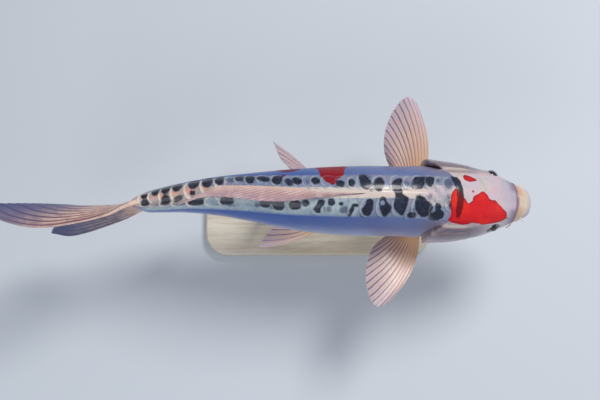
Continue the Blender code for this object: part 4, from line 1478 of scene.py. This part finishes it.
# %% Colours of the fish
WHITE = colour(194, 181, 191)
WHITE_WARM = colour(200, 184, 180)
WHITE_GREEN = colour(172, 176, 172)
WHITE_ROSE = colour(206, 168, 176)
CREAM = colour(206, 191, 183)
NAPE_GREY = colour(152, 148, 160)
STEM_GREY = colour(142, 130, 134)
FLANK = colour(100, 114, 158)
FLANK_REAR = colour(50, 86, 160)
FLANK_DEEP = colour(80, 94, 146)
FLANK_LOW = colour(158, 166, 196)
SHOULDER_GREY = colour(126, 122, 146)
BELLY = colour(200, 194, 200)
SCALE_GREY = colour(128, 142, 158)
SCALE_LILAC = colour(150, 142, 164)
SCALE_PALE = colour(188, 202, 200)
SCALE_RIM = colour(168, 180, 180)
RIM_CREAM = colour(230, 218, 202)
COVER_GREY = colour(102, 96, 112)
COVER_BROWN = colour(132, 106, 108)
COVER_PALE = colour(172, 160, 166)
SNOUT_LILAC = colour(164, 156, 180)
# a painted bluish shade for the sides of the snout behind the lips
SNOUT_SHADE_BLUE = colour(114, 110, 138)
LIP_CREAM = colour(206, 188, 170)
LIP_PALE = colour(192, 180, 186)
LIP_TAN = colour(206, 160, 126)
LIP_SHADE = colour(140, 104, 128)
RED = colour(204, 2, 14)
RED_DEEP = colour(118, 2, 18)
RED_ORANGE = colour(222, 26, 8)
PLUM = colour(92, 26, 74)
PEACH_SPOT = colour(222, 160, 140)
INK = colour(22, 26, 40)
INK_BLUE = colour(38, 46, 72)
INK_FAINT = colour(62, 76, 102)
INK_MAROON = colour(64, 8, 16)
# painted shade in the eye sockets
SOCKET_SHADE = colour(58, 58, 78)
# painted shade for the slits, pits and folds, tinted the dark red of the flesh and gills within
HOLLOW_SHADE = colour(58, 14, 24)
TAIL_FLESH = colour(190, 142, 122)
print("the red is", [round(part, 2) for part in RED])

# %% [markdown]
# ## The ground, before any marking
#
# Skin and scales share one recipe, so that a patch runs on over both. It starts with four
# tones: the flank down to the belly, the bands of scales, the white, and the strands on the
# gill covers. The numbers given to step() are tape places in millimetres, or shares of a
# noise, between which one tone gives way to the next.

# %% Tones of the ground
def flank_tone(paint, along, away, clouds):
    """Blue-grey above and paler below, down to the belly."""
    lower = away + along.step(280, 420) * 26
    return paint.layers(
        FLANK,
        (along.step(130, 300), FLANK_REAR),
        (clouds.step(0.40, 0.70) * 0.45, FLANK_DEEP),
        (along.step(132, 104) * 0.55, SHOULDER_GREY),
        ((lower + clouds * 20).step(56, 92) * 0.85, FLANK_LOW),
        ((lower + clouds * 30).step(84, 134), BELLY),
    )


def band_tone(paint, along, round_mm, patchy):
    """Grey and lilac under the scales, and paler on the right of the dorsal fin."""
    pale_row = round_mm.step(-4, -9) * along.step(186, 204) * (0.5 + 0.5 * patchy.step(0.36, 0.6))
    return paint.layers(SCALE_GREY, (patchy.step(0.40, 0.62), SCALE_LILAC), (pale_row, SCALE_PALE))


def white_tone(paint, along, clouds, patchy):
    """The white of the head, the ridge and the stem, with its clouds."""
    on_nape = along.step(90, 98) * along.step(132, 120) * patchy.step(0.40, 0.60)
    on_stem = along.step(342, 362) * along.step(440, 424)
    return paint.layers(
        WHITE,
        (clouds.step(0.40, 0.64), WHITE_WARM),
        (patchy.step(0.50, 0.70) * 0.85, WHITE_GREEN),
        (patchy.step(0.48, 0.32) * 0.75, WHITE_ROSE),
        (along.step(46, 18) * 0.6, SNOUT_LILAC),
        (along.step(104, 132), CREAM),
        (on_nape * 0.65, NAPE_GREY),
        (on_stem * (0.4 + 0.5 * patchy), STEM_GREY),
    )


def cover_tone(paint, along, away):
    """Strands that fan out from the upper front corner of the gill cover."""
    down, back = away - 40, along - 52
    angle = down.maths("ARCTAN2", down, back)
    reach = (down ** 2 + back ** 2) ** 0.5
    fan_lines = paint.node("CombineXYZ", inputs={0: angle * 9, 1: reach * 0.05})
    strands = paint.noise(1.0, 3, where=fan_lines)
    shown = along.step(62, 84)
    return paint.layers(
        COVER_GREY,
        (strands.step(0.40, 0.60) * (0.25 + 0.6 * shown), COVER_BROWN),
        (strands.step(0.54, 0.70) * (0.15 + 0.45 * shown), COVER_PALE),
        (away.step(52, 78) * 0.65, WHITE),
    )


print("four tones: flank, scale bands, white and gill covers")

# %% [markdown]
# The four tones are laid over each other by where they belong. A painted highlight on the ridge
# and a painted shadow in the groove then mark the fold above each gill cover, and the throat
# turns to the belly's white.

# %% The whole ground
def fish_ground(paint):
    """All of the ground. Returns its colour, and the coarse and the fine noise for the marks."""
    along, round_mm = paint.value("along"), paint.value("round")
    away = abs(round_mm)
    clouds, fine = paint.noise(0.022, 3), paint.noise(0.004, 3)
    patchy = paint.noise(0.009, 4, 0.6)
    band = paint.value("band") * (0.55 + 0.4 * fine)
    pale = paint.value("pale") + (fine - 0.5) * 0.5 + (patchy - 0.5) * 0.5
    on_cover = away.step(26, 40) * away.step(100, 70) * along.step(140, 100) * along.step(34, 76)
    # painted highlight along the ridge above the gill cover, in cream
    ridge_highlight = away.step(33.5, 36) * away.step(40, 37.5) * along.step(64, 80) * along.step(106, 98)
    # painted shadow in the groove under that ridge, in brown
    shadow = away.step(29, 31) * away.step(34, 32) * along.step(58, 68) * along.step(100, 92)
    under = away.step(88, 122) * along.step(150, 130)
    ground = paint.layers(
        flank_tone(paint, along, away, clouds),
        (band, band_tone(paint, along, round_mm, patchy)),
        (pale.step(0.25, 0.75), white_tone(paint, along, clouds, patchy)),
        (on_cover * (0.70 + 0.4 * clouds), cover_tone(paint, along, away)),
        (ridge_highlight * 0.75, CREAM),
        (shadow * 0.45, COVER_BROWN),
        (under * 0.85, BELLY),
    )
    return ground, clouds, fine


print("the ground reads along, round, band and pale from the vertices")

# %% [markdown]
# ## The marks
#
# Over the ground go peach, then the red with its deeper and more orange clouds, then grey and
# last the ink. Noise frays every edge a little, as pigment cells do.

# %% Peach, red and ink
def fish_marks(paint, ground, clouds, fine):
    """Lay peach, red and ink over the ground. Returns colour, and where red and ink are."""
    along, from_red = paint.value("along"), paint.value("red")
    fray = (paint.noise(0.0028, 3) - 0.5) * 1.6 + (paint.noise(0.008, 2) - 0.5) * 1.8
    on_flank = paint.value("round").step(26, 40)
    ragged = (paint.noise(0.013, 3) - 0.5) * 9 * on_flank
    red_at = (from_red + fray * (0.5 + on_flank) + ragged).step(0.28, -0.28)
    ink_at = (paint.value("ink") + fray).step(1.25, -0.35)
    peach_at = (paint.value("peach") + fray * 1.3).step(1.2, -1.6)
    faint_at = (paint.value("faint") + fray * 1.8).step(1.8, -2.0)
    depth = from_red + (paint.noise(0.012, 2) - 0.5) * 6
    red = paint.layers(
        RED,
        (clouds.step(0.44, 0.60) * 0.9, RED_ORANGE),
        (depth.step(-3.2, -0.2) * 0.6, RED_DEEP),
        (fine.step(0.52, 0.72) * 0.22, RED_DEEP),
        (along.step(150, 200) * 0.8, RED_DEEP),
        (along.step(242, 254) * 0.85, PLUM),
    )
    ink = paint.layers(INK, (fine.step(0.42, 0.72), INK_BLUE), (red_at, INK_MAROON))
    painted = paint.layers(
        ground,
        (peach_at * (0.45 + 0.4 * fine), PEACH_SPOT),
        (red_at * 0.97, red),
        (faint_at * (0.5 + 0.5 * fine), INK_FAINT),
        (ink_at * (0.96 - 0.12 * red_at), ink),
    )
    return painted, red_at, ink_at


print("over it go peach, red, faint ink and ink, in that order")

# %% [markdown]
# ## Paint of the skin
#
# The skin adds what the scales don't reach: cream lips, a painted bluish shade on the snout
# behind them, a painted shade in the groove between, the dashes of the side line, the flesh where
# the tail begins, and painted shade in the eye sockets, nostrils and slits. The red is duller
# than the rest, so it gets less coat.

# %% Skin paint
def lip_tones(paint, ground, clouds, fine):
    """Cream and tan lips, a painted bluish shade on the snout's sides behind them, and the groove's painted
    shade.
    """
    lip, level = paint.value("lip"), paint.value("level")
    beside = abs(paint.value("round") + 1)
    tan = lip.step(0.8, 2.4) * lip.step(9.0, 4.5) * beside.step(4.0, 9.0)
    tan = tan * fine.step(0.15, 0.5) * (0.55 + 0.6 * clouds)
    cream = paint.layers(LIP_CREAM, (lip.step(8.0, 14.5), LIP_PALE), (tan, LIP_TAN))
    # painted bluish shade on the snout's sides, just behind the lip groove
    bluish = lip.step(-12, -3) * lip.step(0.0, -2.0) * beside.step(7, 14) * level.step(-14, -6)
    groove = lip.step(-3.6, -0.4) * lip.step(2.6, 0.6) * level.step(-18, -8)
    return paint.layers(
        ground,
        (lip.step(-0.8, 1.2) * (0.2 + 0.8 * level.step(-26, -14)), cream),
        (bluish * (0.4 + 0.5 * clouds), SNOUT_SHADE_BLUE),
        (groove * 0.78, LIP_SHADE),
    )


def paint_skin():
    paint = Paint("koi skin", Coat_Roughness=0.08, Specular_IOR_Level=0.16, Subsurface_Weight=0.06,
                  Subsurface_Radius=(0.004, 0.002, 0.0015), Subsurface_Scale=0.5)
    ground, clouds, fine = fish_ground(paint)
    ground = lip_tones(paint, ground, clouds, fine)
    marked, red_at, _ = fish_marks(paint, ground, clouds, fine)
    along, level, deep = paint.value("along"), paint.value("level"), paint.value("deep")
    side_line = abs(level + 3.5).step(0.8, 0.1) * along.step(121, 126) * along.step(440, 430)
    dashes = (along * 1.6).wave().step(-0.2, 0.9)
    streaks = (level * 2.4).wave().step(-0.2, 0.8)
    shown = paint.layers(
        marked,
        (side_line * dashes * 0.10, INK_FAINT),
        (along.step(430, 444) * (0.55 + 0.35 * streaks), TAIL_FLESH),
        # painted shade in the eye sockets
        (paint.value("socket_shade").step(0.05, 0.85) * 0.9, SOCKET_SHADE),
        # painted shade in the mouth, nostrils, lip groove and gill slits
        (deep.step(0.15, 0.85) * 0.9, HOLLOW_SHADE),
    )
    height = fine * 0.4 + paint.noise(0.0012, 2) * 0.3 + paint.noise(0.010, 2) * 1.2
    rough = 0.26 + 0.14 * paint.noise(0.003, 2) + 0.10 * deep + 0.16 * red_at
    paint.feed(paint.shader.inputs["Coat Weight"], 0.14 - 0.12 * red_at)
    return paint.finish(shown, rough, height, 0.00012, 0.5)


skin_paint = paint_skin()
print("skin paint:", len(skin_paint.node_tree.nodes), "nodes")

# %% [markdown]
# The scales add their own detail to the recipe: a pale free rim, and fine growth rings that
# circle the middle of each scale.

# %% Scale paint
def paint_scales():
    paint = Paint("mirror scales", Coat_Weight=0.22, Coat_Roughness=0.10, Specular_IOR_Level=0.2)
    ground, clouds, fine = fish_ground(paint)
    marked, red_at, ink_at = fish_marks(paint, ground, clouds, fine)
    back, across = (place * 2 - 1 for place in paint.own_map("ScaleMap"))
    out = (back ** 2 + across ** 2) ** 0.5
    rim = (out + (fine - 0.5) * 0.2).step(0.70, 0.92) * back.step(-0.1, 0.4)
    along = paint.value("along")
    rim_tone = paint.mix(along.step(320, 350), SCALE_RIM, RIM_CREAM)
    clear = (1 - 0.8 * ink_at) * (1 - 0.8 * red_at)
    bright = 0.30 + 0.40 * clouds + 0.30 * along.step(335, 365)
    circles = (out * 95).wave()
    shown = paint.layers(
        marked,
        (rim * bright * clear, rim_tone),
        (circles.step(0.2, 0.9) * 0.10 * (1 - ink_at), INK_BLUE),
    )
    height = circles * 0.10 * (1 - rim) + fine * 0.6
    rough = 0.20 + 0.16 * paint.noise(0.002, 2)
    return paint.finish(shown, rough, height, 0.00008, 0.5)


scale_paint = paint_scales()
print("scale paint:", len(scale_paint.node_tree.nodes), "nodes")

# %% [markdown]
# ## Paint of the fins
#
# Rays are pale and the web between them is darker and lilac. The colour also changes along
# the fin, from peach flesh at the root to a cool grey at the edge. Fine cross lines mark the
# joints of each ray. All of it reads the fin's own map, so it follows the rays.

# %% Fin paint
PALE_RAY = colour(228, 198, 178)


class FinPaint(Paint):
    """A fin's paint, with its rays and its change of colour along them."""

    def __init__(self, name, count, root, middle, tip, web, contrast):
        super().__init__(name, Coat_Weight=0.2, Coat_Roughness=0.2, Subsurface_Weight=0.2,
                         Subsurface_Radius=(0.004, 0.0025, 0.002), Subsurface_Scale=0.5)
        self.ray, self.reach = self.own_map("FinMap")
        self.clouds = self.noise(0.010, 3)
        phase = self.ray * (count - 1.0) + (self.noise(0.012, 2) - 0.5) * 0.25 * self.reach
        away = abs(phase - phase.maths("ROUND", phase))
        branched = self.reach.step(BRANCH_FROM, BRANCH_FULL)
        split = abs(away - 0.15 * branched)
        self.on_ray = (split * (1 + 0.45 * branched)).step(0.42, 0.24)
        joints = (self.reach * 260.0 + phase * 9.0).wave()
        self.joints = joints.step(0.55, 0.98) * self.on_ray * self.reach.step(0.15, 0.4)
        self.shown = self.mix(self.reach.step(0.10, 0.55), root, middle)
        self.cover((self.reach + (self.clouds - 0.5) * 0.25).step(0.50, 1.0), tip)
        paired = name.startswith(("pectoral", "pelvic"))
        rearward = 0.35 + 0.65 * self.ray.step(0.0, 0.45) if paired else 1.0
        between = (1 - self.on_ray) * self.reach.step(0.05, 0.35) * (0.50 + 0.45 * self.clouds)
        self.cover(between * contrast * rearward, web)
        if paired:
            self.cover(self.on_ray * self.reach.step(0.30, 0.75) * 0.50, PALE_RAY)
        self.cover(self.joints * 0.15, web)

    def cover(self, share, tone):
        """Lay one more tone over what is there."""
        self.shown = self.mix(share, self.shown, tone)

    def done(self):
        """Finish with raised rays and their fine joints."""
        height = self.on_ray * 0.7 + self.clouds * 0.2 - self.joints * 0.25
        return self.finish(self.shown, 0.32 + 0.12 * self.clouds, height, 0.00012, 0.5)


PEACH = colour(240, 192, 134)
ROSE = colour(214, 178, 160)
LILAC = colour(148, 138, 176)
WEB = colour(84, 64, 92)
FIN_TONES = {                        # root, middle, tip, web, contrast
    "pectoral_fin_left": (PEACH, ROSE, LILAC, WEB, 0.9),
    # the right pectoral lies in the body's shadow: its root is painted lighter against it, and its middle
    # and tip are darker than the left fin's
    "pectoral_fin_right": (colour(255, 208, 160), colour(192, 156, 140), colour(130, 118, 152), WEB, 0.8),
    "pelvic_fin_left": (PEACH, colour(170, 146, 158), colour(142, 128, 164), WEB, 0.8),
    # the right pelvic fin is painted lighter than the left, against the shadow of the body
    "pelvic_fin_right": (PEACH, colour(236, 200, 184), colour(196, 176, 200), WEB, 0.8),
    "anal_fin": (PEACH, colour(216, 180, 168), LILAC, WEB, 0.8),
}
RAY_COUNTS = {"pectoral": PECTORAL_RAYS, "pelvic": PELVIC_RAYS, "anal": ANAL_RAYS}
fin_paints = {}
for node, tones in FIN_TONES.items():
    count = RAY_COUNTS[node.split("_")[0]]
    fin_paints[node] = FinPaint(node.replace("_", " "), count, *tones).done()
print("fins painted:", len(fin_paints))

# %% [markdown]
# The folded dorsal fin has a dark line along its first ray, and its front part lies in its
# own shade. The tail has a bright leading edge above, a dark red seam beside it, and a lower
# lobe painted greyer and darker, as a painted shadow of the upper lobe.

# %% Paint of the dorsal fin and the tail
def paint_dorsal():
    paint = FinPaint("dorsal fin", DORSAL_RAYS, colour(208, 176, 166), colour(194, 160, 160),
                     colour(178, 148, 160), colour(150, 112, 128), 0.8)
    paint.cover(paint.ray.step(0.42, 0.10) * 0.55, colour(142, 112, 126))
    paint.cover(paint.on_ray * paint.clouds.step(0.4, 0.65) * 0.6, colour(226, 200, 194))
    paint.cover(paint.ray.step(0.05, 0.02) * 0.9, colour(82, 40, 50))
    return paint.done()


def paint_tail():
    paint = FinPaint("tail fin", TAIL_RAYS, colour(166, 128, 118), colour(160, 122, 120),
                     colour(84, 92, 134), colour(104, 60, 74), 1.0)
    # the lower lobe is painted darker all over, as a painted shadow of the upper lobe
    below = paint.ray.step(0.50, 0.30) * paint.reach.step(0.02, 0.3)
    paint.cover(below * 0.88, colour(48, 52, 88))
    streaky = paint.on_ray * paint.reach.step(1.0, 0.5) * (0.35 + 0.65 * paint.clouds.step(0.36, 0.6))
    paint.cover(streaky * (0.72 - 0.44 * below), colour(240, 206, 186))
    paint.cover(paint.reach.step(0.36, 0.84) * (0.72 - 0.28 * paint.on_ray), colour(70, 80, 124))
    paint.cover(paint.ray.step(0.966, 0.978) * 0.25 * paint.reach.step(0.9, 0.5), colour(214, 188, 178))
    seam = paint.ray.step(0.944, 0.958) * paint.ray.step(0.974, 0.964) * paint.reach.step(0.75, 0.30)
    paint.cover(seam * 0.8, colour(92, 26, 40))
    return paint.done()


fin_paints["dorsal_fin"] = paint_dorsal()
tail_paint = paint_tail()
print("fins painted:", len(fin_paints) + 1)

# %% [markdown]
# ## Paint of the eyes
#
# The iris of a koi is dark above, so that it doesn't shine in the sun, and gold round the
# pupil. Fine spokes run out from the pupil.

# %% Eye paint
def paint_eye():
    paint = Paint("glass eye", Roughness=0.05, Coat_Weight=1.0, Coat_Roughness=0.02)
    away, upper = paint.value("away"), paint.value("upper")
    spokes = (paint.value("spoke") * 34).wave() * 0.5 + 0.5
    flecks = (spokes * 0.4 + paint.noise(0.0007, 2) * 0.6).step(0.35, 0.65)
    ring = away.step(0.44, 0.48) * away.step(0.55, 0.51)
    return paint.finish(paint.layers(
        colour(168, 132, 78),
        (flecks, colour(216, 196, 158)),
        (upper.step(-0.35, 0.15) * 0.94, colour(24, 20, 30)),
        (away.step(0.62, 0.76), colour(24, 22, 32)),
        (away.step(0.48, 0.44), colour(5, 5, 8)),
        (ring * (0.8 - 0.7 * upper.step(-0.3, 0.25)), colour(206, 168, 92)),
    ))


eye_paint = paint_eye()
print("eye paint:", len(eye_paint.node_tree.nodes), "nodes")

# %% [markdown]
# ## Paint of the barbels and the stand
#
# The barbels are plain cream flesh. The board's grain is stretched noise that runs along it,
# the rods are steel brushed round their axis, and the cradles are soft dark rubber.

# %% Barbels, wood, steel and pads
def paint_barbel():
    paint = Paint("barbel flesh", Coat_Weight=0.2)
    clouds = paint.noise(0.003, 2)
    tone = paint.mix(clouds.step(0.35, 0.7), LIP_CREAM, colour(226, 216, 206))
    return paint.finish(tone, 0.32 + 0.1 * clouds, clouds, 0.00008, 0.5)


def paint_wood():
    paint = Paint("limed ash", Coat_Weight=0.1)
    grain = paint.noise(0.0035, 4, 0.65, stretch=(0.06, 1, 1))
    broad = paint.noise(0.016, 3, 0.5, stretch=(0.10, 1, 1))
    pores = paint.noise(0.0008, 2, 0.5, stretch=(0.05, 1, 1))
    shown = paint.layers(
        colour(214, 206, 192),
        (broad.step(0.35, 0.65), colour(196, 184, 164)),
        (grain.step(0.48, 0.66) * 0.35, colour(166, 148, 122)),
        (pores.step(0.58, 0.70) * 0.4, colour(232, 228, 220)),
    )
    return paint.finish(shown, 0.42 + 0.15 * grain, pores + grain * 0.5, 0.00010, 0.4)


def paint_steel():
    paint = Paint("brushed steel", Metallic=1.0)
    brushed = paint.noise(0.0009, 2, stretch=(0.3, 0.3, 3))
    shown = paint.mix(brushed.step(0.3, 0.7), colour(176, 178, 182), colour(198, 200, 203))
    return paint.finish(shown, 0.24 + 0.16 * brushed, brushed, 0.00003, 0.4)


def paint_pad():
    paint = Paint("soft pad")
    grain = paint.noise(0.0009, 3)
    tone = paint.mix(grain, colour(40, 40, 43), colour(66, 66, 70))
    return paint.finish(tone, 0.8 + 0.15 * grain, grain, 0.00015)


barbel_paint = paint_barbel()
wood_paint = paint_wood()
steel_paint = paint_steel()
pad_paint = paint_pad()
print("and:", [paint.name for paint in (barbel_paint, wood_paint, steel_paint, pad_paint)])

# %% [markdown]
# ## Put it together
#
# Every piece now gets its paint, rides on the one body of the frame and stands for the solids
# that it replaces. The rods, feet and cradles are right as they are, so those solids stay and
# only get a better finish.

# %% Pieces into the frame
FLESH = ("lip_upper", "lip_lower", "head", "gill_cover_left", "gill_cover_right", "trunk_front",
         "trunk_middle", "trunk_rear", "tail_stem")
settle(skin, FLESH, skin_paint)
settle(scales, (), scale_paint)
for name, eye in eyes.items():
    settle(eye, ("eye_" + name,), eye_paint)
for node, barbel in barbels.items():
    settle(barbel, (node,), barbel_paint)
for node, fin in fins.items():
    settle(fin, (node,), fin_paints[node])
settle(tail, ("tail_fin_upper", "tail_fin_lower"), tail_paint)
settle(board, ("stand_base",), wood_paint)
kept_nodes = [node for node in frame["nodes"] if node.startswith("stand_") and node != "stand_base"]
for node in kept_nodes:
    materials = frame["nodes"][node].data.materials
    materials.clear()
    materials.append(pad_paint if "cradle" in node else steel_paint)
print("solids kept:", sorted(kept_nodes))

# %% [markdown]
# ## Floor, light and camera
#
# A plain pale floor and three soft lamps keep attention on the fish. The key lamp stands high
# on its left, so that the back is modelled by the light, and the fill keeps the right flank
# from going dark.

# %% Stage
def add_lamp(name, place, target, size, power, tone):
    data = bpy.data.lights.new(name, "AREA")
    data.shape = "DISK"
    data.size = size
    data.energy = power
    data.color = tone
    lamp = bpy.data.objects.new(name, data)
    lamp.location = place
    lamp.rotation_euler = (Vector(target) - Vector(place)).to_track_quat("-Z", "Y").to_euler()
    bpy.context.scene.collection.objects.link(lamp)


bpy.ops.mesh.primitive_plane_add(size=60)
floor = new_piece("floor")
floor.data.materials.append(Paint("pale floor", Roughness=0.75).finish(colour(198, 204, 212)))

middle = (0.0, 0.0, AXIS_HEIGHT)
add_lamp("key", (0.70, 0.75, 1.65), middle, 0.7, 24, (1.0, 0.98, 0.95))
add_lamp("fill", (-0.6, -1.3, 1.0), middle, 1.2, 10.5, (0.94, 0.97, 1.0))
add_lamp("front", (1.5, -0.4, 0.6), middle, 0.7, 3, (1.0, 1.0, 1.0))
world = bpy.data.worlds.new("studio")
bpy.context.scene.world = world
world.use_nodes = True
background = world.node_tree.nodes["Background"]
background.inputs["Color"].default_value = (0.84, 0.90, 1.0, 1.0)
background.inputs["Strength"].default_value = 0.34
bpy.context.scene.view_settings.view_transform = "Standard"
print("lamps:", len(bpy.data.lights))

# %% [markdown]
# The camera looks down from above, nine degrees off upright towards the fish's right, on the
# middle of its length. Its distance and the width that it has to show there give its lens.

# %% Camera
VIEW_MIDDLE = Vector((0.0379, AXIS_Y, AXIS_HEIGHT))
VIEW_DISTANCE = 1.25
VIEW_TILT = math.radians(9)
VIEW_WIDTH = 0.672
lens = bpy.data.cameras.new("camera")
lens.lens = lens.sensor_width * VIEW_DISTANCE / VIEW_WIDTH
camera = bpy.data.objects.new("camera", lens)
camera.location = VIEW_MIDDLE + VIEW_DISTANCE * Vector((0, -math.sin(VIEW_TILT), math.cos(VIEW_TILT)))
camera.rotation_euler = (VIEW_TILT, 0, 0)
bpy.context.scene.collection.objects.link(camera)
bpy.context.scene.camera = camera
print("camera:", [round(x, 3) for x in camera.location])

# %% [markdown]
# Last, the view layer is brought up to date.

# %% The end
bpy.context.view_layer.update()
